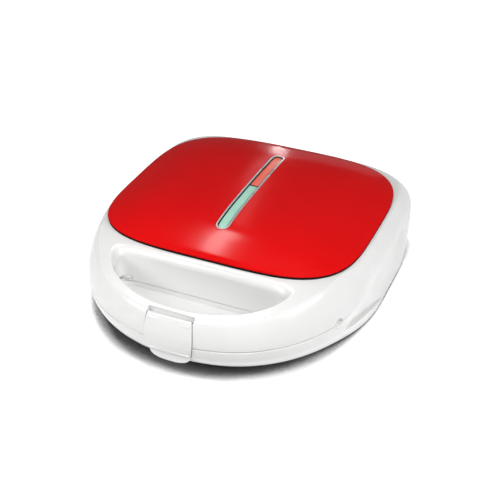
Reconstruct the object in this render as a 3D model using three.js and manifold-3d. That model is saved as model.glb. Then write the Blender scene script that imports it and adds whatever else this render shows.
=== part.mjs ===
// Three-in-one sandwich maker: a countertop cooker with a hinged lid, shown closed and latched.
// Millimetres, +Z up, the handle towards -Y, origin on the ground under the middle of the object.
import * as THREE from "three";
import { mergeVertices } from "three/addons/utils/BufferGeometryUtils.js";
import Module from "manifold-3d";

const wasm = await Module();
wasm.setup();

// Overall form
const bodyWidth = 223;
const footHeight = 4;
const baseHeight = 41;
const lidHeight = 34;
const handleReach = 116;
const rearReach = 145;
const seamFrontPower = 2.16;
const seamRearPower = 11;
const shellWall = 2.6;
const fit = 0.3;
const overrun = 20;

// Red panel on the lid
const panelSideMargin = 6.5;
const panelDepth = 185;
const panelFrontPower = 4.2;
const panelRearPower = 3.5;
const panelSetBack = 40;
const panelCrown = 12.8;
const crownPower = 3.6;
const panelSheet = 0.9;
const panelShadowGap = 0.5;

// Lid: the apron round the panel, and the step where the apron meets the side wall
const rimSideInset = 9.8;
const rimFrontInset = 6.6;
const shoulderWidth = 1.5;
const shoulderRearGrowth = 4;
const shoulderRearPower = 4.6;
const apronSink = 2.4;
const apronFold = 84;
const apronFoldSoftness = 5;
const apronSlope = 9.4;
const stepWidth = 1.4;
const stepDrop = 0.8;
const wallBulgePower = 2.2;

// Finger well through the lid's handle
const handleTopWidth = 6;
const wellRearReach = 59;
const wellMiddleReach = 78;
const wellSideInset = 43.5;
const wellEndFlare = 9;
const wellRearFlare = 5;
const wellFilletDepth = 6;
const wellWall = 2.4;
const wellDeckDepth = 5;

// Base: the flat underside, the set-back flanks and the deck under the finger well
const undersideSideInset = 0.6;
const undersideFrontDepth = 90;
const undersideRearDepth = 88;
const undersideSetBack = 50;
const undersideFrontPower = 2.7;
const undersideRearPower = 7;
const flankPower = 2;
const flankRecess = 2.8;
const flankFrontReach = 45;
const flankRearReach = 112;
const flankFade = 32;
const lipSweepStart = 38;
const lipSweepLength = 92;
const ventDiameter = 8.5;
const ventDepth = 1.6;
const ventSetForward = 46;

// Rims, ledge and inner frame, measured from the parting line
const rimGap = 0.3;
const rimWall = 2.8;
const ledgeDepth = 5;
const ledgeWidth = 3;
const ledgeThickness = 3;
const frameThickness = 4.4;
const lipWidth = 3;

// Cooking plates
const plateSideRoom = 14;
const plateFrontRoom = 14.6;
const plateRearRoom = 47;
const plateCorner = 14;
const plateGap = 0.2;
const plateFlange = 2.2;
const plateWall = 2.2;
const pocketDepth = 11;
const pocketDraft = 7.5;
const pocketCorner = 9;
const ridgeGap = 7;
const tabWidth = 12;
const tabLength = 3.4;
const tabThickness = 1;
const tabSpacing = 100;

// Heat: reflector pan, tubular element, its clamps, thermostat and fuse
const reflectorInset = 1;
const reflectorFlange = 2.4;
const reflectorSheet = 0.8;
const reflectorDraft = 0.8;
const elementRadius = 2.8;
const elementBend = 12;
const elementTailSpacing = 26;
const elementTailBend = 6;
const elementTail = 10;
const supportWidth = 7;
const thermostatRadius = 9;
const thermostatHeight = 6;
const fuseRadius = 3.2;
const fuseLength = 22;
const bladeWidth = 5;
const bladeThickness = 0.8;
const bladeLength = 6;
const terminalWidth = 30;
const terminalDepth = 12;
const terminalHeight = 9;

// Plate release slides
const slideSideInset = 33.5;
const slideLength = 20;
const slideWidth = 8;
const slideShift = 0.6;
const slideTopDepth = 0.8;
const slideThickness = 2.4;
const slideTravel = 6;
const fingerThickness = 1.2;
const fingerLap = 2.4;
const nubWidth = 8;
const nubReach = 3;
const nubTopDepth = 1.7;
const catchWidth = 6;

// Latch clip on the handle
const clipWidth = 38;
const clipProud = 1.3;
const clipThickness = 2.6;
const clipSideGap = 0.5;
const clipTopHeight = 20;
const clipFootDepth = 9.5;
const clipBow = 2;
const tongueDepth = 17;
const tongueWidth = 33;
const tongueThickness = 2.4;
const tongueBendInset = 5.4;
const tongueTipInset = 3.4;
const latchPinInset = 7.4;
const latchPinHeight = 15.5;
const latchPinRadius = 1.1;
const latchPinHalf = 22;
const latchBarrelRadius = 2.6;
const barrelHalf = 16;
const latchBlockMargin = 5;
const latchPocketDepth = 10.4;
const latchChannelDepth = 6.4;
const catchProud = 1.3;
const catchHeight = 2.5;
const catchDrop = 5.6;

// Rear hinge
const hingeSetBack = 6;
const knuckleRadius = 5.1;
const hingeSideInset = 49.5;
const knuckleLength = 9;
const earThickness = 5;
const hingePinRadius = 2;
const hingeWeb = 16;

// Lamp window in the panel
const windowLength = 121;
const windowWidth = 11.5;
const windowSetForward = 5.5;
const windowRim = 1.1;
const windowLip = 0.3;
const windowSink = 1.4;
const lensThickness = 2.2;
const readyLensShare = 0.53;
const lampRadius = 2.6;
const lampLength = 16;
const carrierThickness = 2;
const carrierDrop = 7;
const carrierWing = 6;

// Feet, screws and cord inlet
const footRadius = 8;
const footSeat = 2;
const footSideInset = 35.9;
const footEndInset = 25;
const footTaper = 1;
const bossRadius = 4.5;
const screwHeadRadius = 3.2;
const screwHeadHeight = 1.8;
const screwTopDepth = 0.5;
const screwShankRadius = 1.5;
const screwShankLength = 12;
const screwSideInset = 24.5;
const screwFrontInset = 7.5;
const screwRearInset = 24;
const cordBore = 7;
const glandRadius = 5.6;
const glandFlange = 2;
const glandSideRoom = 18;
const glandDepth = 8;
const glandHeight = 22;
const glandSetIn = 2;

// Facets
const directionCount = 72;
const roundSegments = 20;
const fineRoundSegments = 12;
const fineRadius = 4;
const cornerSegments = 3;
const searchSteps = 40;
const outlineBlend = 60;
const wellCornerPower = 9;
const lipFirstShare = 0.3;
const lipLastShare = 0.97;
const lipMergeShare = 0.85;
const elementFacets = 8;
const webShare = 0.7;

// Places worked out from the sizes
const wholeTurn = 2 * Math.PI;
const degree = wholeTurn / 360;
const seamZ = footHeight + baseHeight;
const panelZ = seamZ + lidHeight;
const hingeReach = rearReach + hingeSetBack;
const panelWidth = bodyWidth - 2 * panelSideMargin;
const rimHalfWidth = bodyWidth / 2 - rimSideInset;
const rimReach = handleReach - rimFrontInset;
const wellHalfWidth = bodyWidth / 2 - wellSideInset;
const undersideHalfWidth = bodyWidth / 2 - undersideSideInset;
const plateWidth = bodyWidth - 2 * plateSideRoom;
const plateFrontReach = wellRearReach - wellWall - plateFrontRoom;
const plateRearReach = rearReach - plateRearRoom;
const plateDepth = plateFrontReach + plateRearReach;
const plateSetBack = (plateRearReach - plateFrontReach) / 2;
const slideOffset = plateWidth / 2 - slideSideInset;
const hingeSpacing = bodyWidth - 2 * hingeSideInset;
const screwSpacingX = bodyWidth - 2 * screwSideInset;
const footSpacingX = 2 * (undersideHalfWidth - footSideInset);
const footSpacingY = undersideFrontDepth + undersideRearDepth - 2 * footEndInset;
const tongueBendReach = handleReach - tongueBendInset;
const tongueTipReach = handleReach - tongueTipInset;
const latchPinReach = handleReach - latchPinInset;
const latchPocketReach = handleReach - latchPocketDepth;
const latchChannelReach = handleReach - latchChannelDepth;
const catchReach = latchChannelReach + catchProud;
const glandOffset = hingeSpacing / 2 - glandSideRoom;
const bowlY = (handleReach + clipProud - hingeReach - knuckleRadius) / 2;
const hingeY = bowlY + hingeReach;
const panelY = bowlY + panelSetBack;
const plateY = bowlY + plateSetBack;
const undersideY = bowlY + undersideSetBack;
const wellY = bowlY - wellMiddleReach;
const deckDrop = panelSheet + fit;
const frameBottomDepth = rimGap + frameThickness;
const flangeBottomDepth = plateGap + plateFlange;
const lipTopDepth = flangeBottomDepth + fit;
const bossBottomDepth = plateGap + pocketDepth + plateWall;
const panTopDepth = frameBottomDepth + fit;
const panFloorDepth = bossBottomDepth + fit;
const panWallInset = reflectorInset + reflectorFlange + reflectorSheet + reflectorDraft;
const elementInset = panWallInset + fit + elementRadius;
const elementDepth = lipTopDepth + elementRadius;
const pocketInset = elementInset + elementRadius + fit + plateWall;
const catchRidgeZ = seamZ - catchDrop;
const glandY = bowlY + rearReach - glandSetIn;
const glandZ = glandHeight;

// Mesh helpers

// Turns a closed geometry into a manifold solid, ready to be joined or cut
function solidOf(geometry) {
  const bare = geometry.clone();
  bare.deleteAttribute("normal");
  bare.deleteAttribute("uv");
  const merged = mergeVertices(bare);
  return new wasm.Manifold(
    new wasm.Mesh({
      numProp: 3,
      vertProperties: merged.attributes.position.array,
      triVerts: new Uint32Array(merged.index.array),
    }),
  );
}

function geometryOf(solid) {
  const mesh = solid.getMesh();
  const geometry = new THREE.BufferGeometry();
  geometry.setAttribute("position", new THREE.BufferAttribute(mesh.vertProperties, mesh.numProp));
  geometry.setIndex(new THREE.BufferAttribute(mesh.triVerts, 1));
  geometry.computeVertexNormals();
  return geometry;
}

// Joins rings of equally many points into one closed skin, from the middle of the first to the last
function loft(start, rings, end) {
  const count = rings[0].length;
  const points = [start, ...rings.flat(), end];
  const faces = [];
  for (let i = 0; i < count; i++) {
    const next = (i + 1) % count;
    faces.push(0, 1 + i, 1 + next);
    for (let k = 0; k + 1 < rings.length; k++) {
      const near = 1 + k * count;
      const far = near + count;
      faces.push(near + i, far + i, far + next, near + i, far + next, near + next);
    }
    const last = 1 + (rings.length - 1) * count;
    faces.push(last + i, points.length - 1, last + next);
  }
  const geometry = new THREE.BufferGeometry().setFromPoints(points);
  geometry.setIndex(faces);
  return solidOf(geometry);
}

const angles = Array.from({ length: directionCount }, (_, i) => (i / directionCount) * wholeTurn);
const hiddenAngles = angles.filter((_, i) => i % 2 === 0);

// One ring round (0, middleY): reach and height are numbers or functions of the direction
function ring(middleY, reach, height, among = angles) {
  return among.map((angle) => {
    const distance = typeof reach === "function" ? reach(angle) : reach;
    const x = distance * Math.cos(angle);
    const y = middleY + distance * Math.sin(angle);
    return new THREE.Vector3(x, y, typeof height === "function" ? height(x, y) : height);
  });
}

const axisPoint = (y, z) => new THREE.Vector3(0, y, z);

// A level slab with the same outline at both heights
function slab(middleY, reach, low, high, among = angles) {
  const rings = [ring(middleY, reach, high, among), ring(middleY, reach, low, among)];
  return loft(axisPoint(middleY, high), rings, axisPoint(middleY, low));
}

function box(x0, x1, y0, y1, z0, z1) {
  const geometry = new THREE.BoxGeometry(x1 - x0, y1 - y0, z1 - z0);
  return solidOf(geometry.translate((x0 + x1) / 2, (y0 + y1) / 2, (z0 + z1) / 2));
}

const segmentsFor = (radius) => (radius < fineRadius ? fineRoundSegments : roundSegments);

function cylinder(radius, height, x, y, z, endRadius = radius) {
  const geometry = new THREE.CylinderGeometry(endRadius, radius, height, segmentsFor(radius));
  return solidOf(geometry.rotateX(wholeTurn / 4).translate(x, y, z + height / 2));
}

function cylinderAcross(radius, x0, x1, y, z) {
  const geometry = new THREE.CylinderGeometry(radius, radius, x1 - x0, segmentsFor(radius));
  return solidOf(geometry.rotateZ(wholeTurn / 4).translate((x0 + x1) / 2, y, z));
}

function cylinderDeep(radius, y0, y1, x, z) {
  const geometry = new THREE.CylinderGeometry(radius, radius, y1 - y0, segmentsFor(radius));
  return solidOf(geometry.translate(x, (y0 + y1) / 2, z));
}

// A closed profile in the plane of y and z, drawn out along x
function acrossPrism(profile, x0, x1) {
  const shape = new THREE.Shape(profile.map(([y, z]) => new THREE.Vector2(y, z)));
  const geometry = new THREE.ExtrudeGeometry(shape, { depth: x1 - x0, bevelEnabled: false });
  const toSide = new THREE.Matrix4().set(0, 0, 1, x0, 1, 0, 0, 0, 0, 1, 0, 0, 0, 0, 0, 1);
  return solidOf(geometry.applyMatrix4(toSide));
}

// A closed outline in the plane of x and z, drawn out along y
function deepPrism(shape, y0, y1) {
  const options = { depth: y1 - y0, bevelEnabled: false, curveSegments: cornerSegments * 2 };
  const geometry = new THREE.ExtrudeGeometry(shape, options);
  return solidOf(geometry.rotateX(wholeTurn / 4).translate(0, y1, 0));
}

function upPrism(shape, z0, z1) {
  const options = { depth: z1 - z0, bevelEnabled: false, curveSegments: cornerSegments };
  return solidOf(new THREE.ExtrudeGeometry(shape, options).translate(0, 0, z0));
}

function roundedRectangle(halfX, halfY, middleY, corner) {
  const shape = new THREE.Shape();
  shape.moveTo(halfX - corner, middleY - halfY);
  shape.absarc(halfX - corner, middleY - halfY + corner, corner, -wholeTurn / 4, 0);
  shape.absarc(halfX - corner, middleY + halfY - corner, corner, 0, wholeTurn / 4);
  shape.absarc(-halfX + corner, middleY + halfY - corner, corner, wholeTurn / 4, wholeTurn / 2);
  shape.absarc(-halfX + corner, middleY - halfY + corner, corner, wholeTurn / 2, (wholeTurn * 3) / 4);
  shape.closePath();
  return shape;
}

// A long slot with round ends, its length along y
function stadium(halfWidth, halfLength, middleY) {
  return roundedRectangle(halfWidth, halfLength, middleY, halfWidth * 0.999);
}

// Outlines in plan

// Distance from (0, middleY) to where a level function passes 1
function reachTo(level, middleY) {
  return (angle) => {
    let low = 0;
    let high = bodyWidth + rearReach;
    for (let i = 0; i < searchSteps; i++) {
      const middle = (low + high) / 2;
      const inside = level(middle * Math.cos(angle), middleY + middle * Math.sin(angle)) < 1;
      if (inside) low = middle;
      else high = middle;
    }
    return low;
  };
}

const superellipse = (x, y, power) => (Math.abs(x) ** power + Math.abs(y) ** power) ** (1 / power);

function panelLevel(x, y, growth = 0) {
  const power = y < panelY ? panelFrontPower : panelRearPower;
  return superellipse(x / (panelWidth / 2 + growth), (y - panelY) / (panelDepth / 2 + growth), power);
}

function shoulderLevel(x, y) {
  if (y < panelY) return panelLevel(x, y, shoulderWidth);
  const halfDepth = panelDepth / 2 + shoulderRearGrowth;
  return superellipse(x / (panelWidth / 2 + shoulderWidth), (y - panelY) / halfDepth, shoulderRearPower);
}

// The step line round the handle, and the rear half that stays under the shoulder
function handleRimLevel(x, y, inset = 0) {
  return superellipse(x / (rimHalfWidth - inset), (y - bowlY) / (rimReach - inset), seamFrontPower);
}

function seamLevel(x, y, inset = 0) {
  if (y < bowlY) {
    const across = x / (bodyWidth / 2 - inset);
    return superellipse(across, (y - bowlY) / (handleReach - inset), seamFrontPower);
  }
  return superellipse(x / (bodyWidth / 2 - inset), (y - bowlY) / (rearReach - inset), seamRearPower);
}

function undersideLevel(x, y) {
  const front = y < undersideY;
  const across = x / undersideHalfWidth;
  const along = (y - undersideY) / (front ? undersideFrontDepth : undersideRearDepth);
  return superellipse(across, along, front ? undersideFrontPower : undersideRearPower);
}

// The finger well: the handle's inner arc, closed at the ends and towards the panel
function wellLevel(x, y, flareShare, growth = 0) {
  const arc = handleRimLevel(x, y, handleTopWidth - growth);
  const rearRoom = wellMiddleReach - wellRearReach + wellRearFlare * flareShare + growth;
  const rear = Math.max(0, (y - wellY) / rearRoom);
  const side = Math.abs(x) / (wellHalfWidth + wellEndFlare * flareShare + growth);
  const power = wellCornerPower;
  return (arc ** (power * 3) + rear ** power + side ** power) ** (1 / power);
}

// Joins two reaches into one outline with a soft corner: the outer of both, or the inner
const blended = (a, b, power) => (angle) => (a(angle) ** power + b(angle) ** power) ** (1 / power);
const outerOf = (a, b) => blended(a, b, outlineBlend);
const innerOf = (a, b) => blended(a, b, -outlineBlend);
const less = (reach, amount) => (angle) => reach(angle) - amount;
const shareOf = (reach, share) => (angle) => reach(angle) * share;

const smoothStep = (from, to, value) => THREE.MathUtils.smoothstep(value, from, to);

// How far the base's flank is set back, by the place along the body where a direction meets the seam
function flankShare(y) {
  const forward = bowlY - flankFrontReach;
  const back = bowlY + flankRearReach;
  return smoothStep(forward, forward + flankFade, y) * (1 - smoothStep(back - flankFade, back, y));
}

const seamReach = reachTo((x, y) => seamLevel(x, y), bowlY);
const seamReachAcross = (y) => {
  const along = Math.abs(y - bowlY) / handleReach;
  return (bodyWidth / 2) * (1 - along ** seamFrontPower) ** (1 / seamFrontPower);
};
const seamPlaceY = (angle) => bowlY + seamReach(angle) * Math.sin(angle);
const baseRimReach = (angle) => seamReach(angle) - flankRecess * flankShare(seamPlaceY(angle));
const undersideReach = reachTo((x, y) => undersideLevel(x, y), bowlY);
const stepReach = reachTo((x, y) => handleRimLevel(x, y, -stepWidth), bowlY);
const wallTopReach = outerOf(stepReach, reachTo((x, y) => shoulderLevel(x, y), bowlY));
const deckReach = reachTo((x, y) => panelLevel(x, y, -deckDrop), bowlY);

// The bowl is the room for the plates: inside the rims, and behind the finger well
function bowlFrontReach(angle) {
  const towardsHandle = Math.max(-Math.sin(angle), 1e-6);
  return Math.min((wellRearReach - wellWall) / towardsHandle, bodyWidth + rearReach);
}
const bowlReach = innerOf(less(seamReach, flankRecess + rimWall), bowlFrontReach);
const frameReach = less(bowlReach, fit);
const openingReach = less(bowlReach, ledgeWidth);

// Heights of the lid's top: the crowned deck under the panel, and the apron that falls to the handle
function crownHeight(x, y) {
  return panelCrown * (1 - Math.min(1, panelLevel(x, y)) ** crownPower);
}

function apronHeight(x, y) {
  const past = (panelY - apronFold - y) / apronFoldSoftness;
  const fall = apronFoldSoftness * Math.log1p(Math.exp(past));
  return panelZ - apronSink - fall * Math.tan(apronSlope * degree);
}

const wallTopHeight = (x, y) => apronHeight(x, y) - stepDrop;

// Ring of the lid's side wall at a share of the way down from the step to the parting line
function lidWallRing(share, inset = 0, floor = seamZ, among = angles) {
  return among.map((angle) => {
    const top = wallTopReach(angle);
    const reach = top + (seamReach(angle) - top) * (1 - (1 - share) ** wallBulgePower);
    const topZ = wallTopHeight(top * Math.cos(angle), bowlY + top * Math.sin(angle));
    const x = (reach - inset) * Math.cos(angle);
    const y = bowlY + (reach - inset) * Math.sin(angle);
    return new THREE.Vector3(x, y, topZ + (floor - topZ) * share);
  });
}

// The lip under the set-back flank sweeps down from the parting line almost to the underside
function lipShare(y) {
  const along = (y - bowlY + lipSweepStart) / lipSweepLength;
  return THREE.MathUtils.lerp(lipFirstShare, lipLastShare, THREE.MathUtils.clamp(along, 0, 1));
}

// Ring of the base's side wall: shares up to 1 lie above the lip, shares from 1 to 2 below it
function baseWallRing(share, inset = 0, top = seamZ - rimGap, floor = footHeight, among = angles) {
  return among.map((angle) => {
    const placeY = seamPlaceY(angle);
    const lip = lipShare(placeY);
    const depth = Math.min(1, share <= 1 ? share * lip : lip + (share - 1) * (1 - lip));
    const under = undersideReach(angle);
    const setBackShare = share <= 1 ? 1 : smoothStep(lipMergeShare, lipLastShare, lip);
    const rim = seamReach(angle) - flankRecess * flankShare(placeY) * setBackShare;
    const reach = under + (rim - under) * (1 - depth ** flankPower) ** (1 / flankPower) - inset;
    const x = reach * Math.cos(angle);
    const y = bowlY + reach * Math.sin(angle);
    return new THREE.Vector3(x, y, top + (floor - top) * depth);
  });
}

// Solids that several pieces are made from

const deckShares = [0.5, 0.75, 0.9, 1];
const deckCavityShares = [0.55, 0.85, 1];
const lidWallShares = [0, 0.2, 0.45, 0.72, 1];
const baseWallShares = [0, 0.4, 0.75, 1, 1.01, 1.3, 1.55, 1.75, 1.88, 1.96, 2];
const baseCavityShares = [0, 0.75, 1, 1.45, 1.82, 2];
const lidCavityWallShares = [0.3, 1];
const wellFlareShares = [0, 0.08, 0.25, 0.55, 1];
const crownStations = 6;

const deckHeight = (x, y) => panelZ + crownHeight(x, y) - deckDrop;
const grown = (reach, amount) => less(reach, -amount);
const apronReach = less(wallTopReach, stepWidth);

function lidFilled() {
  const deck = deckShares.map((share) => ring(bowlY, shareOf(deckReach, share), deckHeight));
  const rings = [
    ...deck,
    ring(bowlY, deckReach, apronHeight),
    ring(bowlY, apronReach, apronHeight),
    ring(bowlY, apronReach, wallTopHeight),
    ...lidWallShares.map((share) => lidWallRing(share, 0, seamZ + rimGap)),
  ];
  return loft(axisPoint(bowlY, deckHeight(0, bowlY)), rings, axisPoint(bowlY, seamZ + rimGap));
}

function lidCavity() {
  const floor = seamZ + rimGap + shellWall;
  const under = (height) => (x, y) => height(x, y) - shellWall;
  const deckInner = less(deckReach, shellWall);
  const rings = [
    ...deckCavityShares.map((share) =>
      ring(bowlY, shareOf(deckInner, share), under(deckHeight), hiddenAngles),
    ),
    ring(bowlY, deckInner, under(apronHeight), hiddenAngles),
    ring(bowlY, less(apronReach, shellWall), under(apronHeight), hiddenAngles),
    ...lidCavityWallShares.map((share) => lidWallRing(share, shellWall, floor, hiddenAngles)),
  ];
  const top = deckHeight(0, bowlY) - shellWall;
  return loft(axisPoint(bowlY, top), rings, axisPoint(bowlY, floor));
}

function baseFilled() {
  const rings = baseWallShares.map((share) => baseWallRing(share));
  return loft(axisPoint(bowlY, seamZ - rimGap), rings, axisPoint(bowlY, footHeight));
}

function baseCavity() {
  const top = seamZ - rimGap - shellWall;
  const floor = footHeight + shellWall;
  const rings = baseCavityShares.map((share) => baseWallRing(share, shellWall, top, floor, hiddenAngles));
  return loft(axisPoint(bowlY, top), rings, axisPoint(bowlY, floor));
}

// The outer skin of both shells, grown outwards by an amount, for the latch that lies on it
function bodySkin(growth) {
  const rings = [
    ring(bowlY, grown(wallTopReach, growth), panelZ + overrun),
    ...lidWallShares.map((share) => lidWallRing(share, -growth)),
    ...baseWallShares.map((share) => baseWallRing(share, -growth)),
  ];
  return loft(axisPoint(bowlY, panelZ + overrun), rings, axisPoint(bowlY, footHeight));
}

// The finger well down to a height, grown by an amount
function wellSolid(growth, low, among = angles) {
  const flared = (share) => {
    const flare = 1 - Math.sqrt(1 - (1 - share) ** 2);
    return reachTo((x, y) => wellLevel(x, y, flare, growth), wellY);
  };
  const rings = [
    ring(wellY, flared(0), panelZ + overrun, among),
    ...wellFlareShares.map((share) =>
      ring(wellY, flared(share), (x, y) => apronHeight(x, y) - share * wellFilletDepth, among),
    ),
    ring(wellY, flared(1), low, among),
  ];
  return loft(axisPoint(wellY, panelZ + overrun), rings, axisPoint(wellY, low));
}

// Block round the bowl that carries the rim and the ledge
function rimBlock(low, high) {
  return slab(bowlY, grown(bowlReach, rimWall), low, high, hiddenAngles);
}

// A strip that follows the crown along the middle of the panel, between two depths under its surface
function crownStrip(halfWidth, top, bottom) {
  const length = windowLength + overrun;
  const stations = Array.from({ length: crownStations + 1 }, (_, i) => {
    const y = panelY - windowSetForward + (i / crownStations - 1 / 2) * length;
    return [y, panelZ + crownHeight(0, y)];
  });
  const upper = stations.map(([y, z]) => [y, z - top]);
  const lower = stations.map(([y, z]) => [y, z - bottom]).reverse();
  return acrossPrism([...upper, ...lower], -halfWidth, halfWidth);
}

const windowOutline = (growth) =>
  stadium(windowWidth / 2 + growth, windowLength / 2 + growth, panelY - windowSetForward);

// Lid-side latch outline seen from the front, bowed a little at its sides
function clipOutline(growth) {
  const top = seamZ + clipTopHeight + growth;
  const foot = seamZ - clipFootDepth - growth;
  const middle = (top + foot) / 2;
  const waist = clipWidth / 2 - clipBow + growth;
  const bulge = clipWidth / 2 + clipBow + growth;
  const shape = new THREE.Shape();
  shape.moveTo(waist, foot);
  shape.quadraticCurveTo(bulge, middle, waist, top);
  shape.lineTo(-waist, top);
  shape.quadraticCurveTo(-bulge, middle, -waist, foot);
  shape.closePath();
  return shape;
}

const frontPlace = (reach) => bowlY - reach;
const clipPrism = (growth) =>
  deepPrism(clipOutline(growth), frontPlace(handleReach + overrun), frontPlace(latchChannelReach));

function frontBox(halfWidth, outer, inner, low, high) {
  return box(-halfWidth, halfWidth, frontPlace(outer), frontPlace(inner), low, high);
}

// Hinge knuckle or ear with the web that joins it to a shell, above or below the parting line
function hingeEar(x0, x1, side) {
  const wallY = hingeY - hingeSetBack - shellWall;
  const web = [
    [wallY, seamZ + side * rimGap],
    [hingeY, seamZ + side * rimGap],
    [hingeY, seamZ + side * knuckleRadius],
    [wallY, seamZ + side * hingeWeb],
  ];
  return cylinderAcross(knuckleRadius, x0, x1, hingeY, seamZ).add(acrossPrism(web, x0, x1));
}

const sides = [-1, 1];
const hingeHole = (middleX) => {
  const half = knuckleLength / 2 + earThickness + 2 * fit;
  return cylinderAcross(hingePinRadius + fit, middleX - half, middleX + half, hingeY, seamZ);
};

// Places of the frame's four screws
function screwSpots() {
  const front = bowlY - wellRearReach + wellWall + screwFrontInset;
  const rear = bowlY + rearReach - screwRearInset;
  return [front, rear].flatMap((y) => sides.map((side) => [(side * screwSpacingX) / 2, y]));
}

// Bosses for the frame's screws, between the ledge and a far height
function screwBosses(nearDepth, farHeight) {
  const near = seamZ + nearDepth;
  const low = Math.min(near, farHeight);
  const height = Math.abs(farHeight - near);
  return screwSpots().map(([x, y]) => cylinder(bossRadius, height, x, y, low));
}

function screwHoles(side) {
  const length = screwShankLength + ledgeDepth + fit;
  const low = side > 0 ? seamZ : seamZ - length;
  return screwSpots().map(([x, y]) => cylinder(screwShankRadius + fit, length, x, y, low));
}

const joined = (solids) => solids.reduce((whole, solid) => whole.add(solid));
const cutBy = (solid, cutters) => cutters.reduce((left, cutter) => left.subtract(cutter), solid);

// Slides sit at opposite sides: the base's on the right, the lid's on the left
function nubWindow(side, outer, inner) {
  const near = slideOffset - nubWidth / 2 - 2 * fit;
  const far = slideOffset + slideTravel + nubWidth / 2 + 2 * fit;
  const x0 = side > 0 ? near : -far;
  const z0 = Math.min(seamZ - side * nubTopDepth, seamZ - side * frameBottomDepth);
  const z1 = Math.max(seamZ - side * nubTopDepth, seamZ - side * frameBottomDepth);
  return box(x0, x0 + far - near, bowlY - outer, bowlY - inner, z0, z1);
}

function ventNotches() {
  const y = bowlY - ventSetForward;
  const edge = seamReachAcross(y) - ventDepth;
  return sides.map((side) =>
    cylinderAcross(ventDiameter / 2, Math.min(side * edge, side * (edge + overrun)),
      Math.max(side * edge, side * (edge + overrun)), y, seamZ),
  );
}

// Pieces of the lid

function upperHousing() {
  const filled = lidFilled();
  const inside = (solid) => solid.intersect(filled);
  const rimTop = seamZ + ledgeDepth + ledgeThickness;
  const clipRoom = clipPrism(clipSideGap).subtract(bodySkin(clipProud - clipThickness - fit));
  const blockHalf = clipWidth / 2 + clipSideGap + latchBlockMargin;
  const shell = joined([
    filled.subtract(lidCavity()),
    inside(rimBlock(seamZ + rimGap, rimTop)),
    inside(wellSolid(wellWall, seamZ + rimGap, hiddenAngles)),
    inside(frontBox(blockHalf, handleReach + overrun, latchPocketReach - wellWall, seamZ + rimGap, panelZ)),
  ]);
  const opened = cutBy(shell, [
    slab(bowlY, bowlReach, seamZ - overrun, seamZ + ledgeDepth),
    slab(bowlY, openingReach, seamZ, rimTop + fit, hiddenAngles),
    wellSolid(0, seamZ - overrun),
  ]);
  const knuckles = sides.map((side) => {
    const middle = (side * hingeSpacing) / 2;
    return hingeEar(middle - knuckleLength / 2, middle + knuckleLength / 2, 1);
  });
  const fitted = joined([opened, ...screwBosses(ledgeDepth, panelZ).map(inside), ...knuckles]);
  return cutBy(fitted, [
    clipRoom,
    frontBox(clipWidth / 2 - clipSideGap, handleReach + overrun, latchPocketReach,
      seamZ + latchPinHeight - latchBarrelRadius - fit, panelZ + overrun),
    cylinderAcross(latchPinRadius + fit, -latchPinHalf - fit, latchPinHalf + fit,
      frontPlace(latchPinReach), seamZ + latchPinHeight),
    nubWindow(-1, wellRearReach + overrun, wellRearReach - wellWall - overrun / 4),
    upPrism(windowOutline(fit), seamZ + overrun, panelZ + overrun * 2),
    ...ventNotches(),
    ...sides.map((side) => hingeHole((side * hingeSpacing) / 2)),
    ...screwHoles(1),
  ]);
}

// The red cover: a crowned sheet with its edge turned down
function topPanel() {
  const shares = [0.25, 0.45, 0.62, 0.76, 0.88, 0.96, 1];
  const outer = reachTo((x, y) => panelLevel(x, y), bowlY);
  const inner = less(outer, panelSheet);
  const surface = (x, y) => panelZ + crownHeight(x, y);
  const underside = (x, y) => surface(x, y) - panelSheet;
  const skirtFoot = (x, y) => apronHeight(x, y) + panelShadowGap;
  const rings = [
    ...shares.map((share) => ring(bowlY, shareOf(outer, share), surface)),
    ring(bowlY, outer, skirtFoot),
    ring(bowlY, inner, skirtFoot),
    ...deckShares.toReversed().map((share) => ring(bowlY, shareOf(inner, share), underside)),
  ];
  const whole = loft(axisPoint(bowlY, surface(0, bowlY)), rings, axisPoint(bowlY, underside(0, bowlY)));
  return whole.subtract(upPrism(windowOutline(0), seamZ, panelZ + overrun * 2));
}

const bezelOuter = -fit;
const bezelInner = bezelOuter - windowRim;
const lensOuter = bezelInner - fit;
const lensFootDepth = windowSink + lensThickness;
const bezelFootDepth = lensFootDepth + windowRim;

function windowPiece(growth, top, bottom) {
  const solid = upPrism(windowOutline(growth), seamZ, panelZ + overrun * 2);
  return solid.intersect(crownStrip(windowWidth, top, bottom));
}

function lampBezel() {
  const inside = windowPiece(bezelInner, -overrun, overrun);
  return windowPiece(bezelOuter, -windowLip, bezelFootDepth).subtract(inside);
}

// One coloured lens: the front share of the window is green, the rest orange
function lens(front) {
  const whole = windowPiece(lensOuter, windowSink, lensFootDepth);
  const frontEnd = panelY - windowSetForward - windowLength / 2;
  const split = frontEnd + windowLength * readyLensShare;
  const near = front ? frontEnd - overrun : split + fit / 2;
  const far = front ? split - fit / 2 : frontEnd + windowLength + overrun;
  return whole.intersect(box(-windowWidth, windowWidth, near, far, seamZ, panelZ + overrun * 2));
}

// Tray under the lenses that holds the lamps and hangs from the deck by two wings
const carrierTopDepth = bezelFootDepth + fit;
const carrierFloorDepth = carrierTopDepth + carrierDrop;
const lampDepth = carrierFloorDepth - fit - lampRadius;

function lampCarrier() {
  const tray = windowPiece(bezelOuter, carrierTopDepth, carrierFloorDepth + carrierThickness);
  const room = windowPiece(bezelInner, 0, carrierFloorDepth);
  const wingTop = carrierTopDepth;
  const wings = sides.map((side) => {
    const y = panelY - windowSetForward + (side * windowLength) / 4;
    const reach = windowWidth / 2 + carrierWing;
    const strip = crownStrip(reach, wingTop, wingTop + carrierThickness);
    const room = box(-reach, reach, y - carrierWing, y + carrierWing, seamZ, panelZ + overrun * 2);
    return strip.intersect(room);
  });
  return joined([tray, ...wings]).subtract(room);
}

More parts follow.
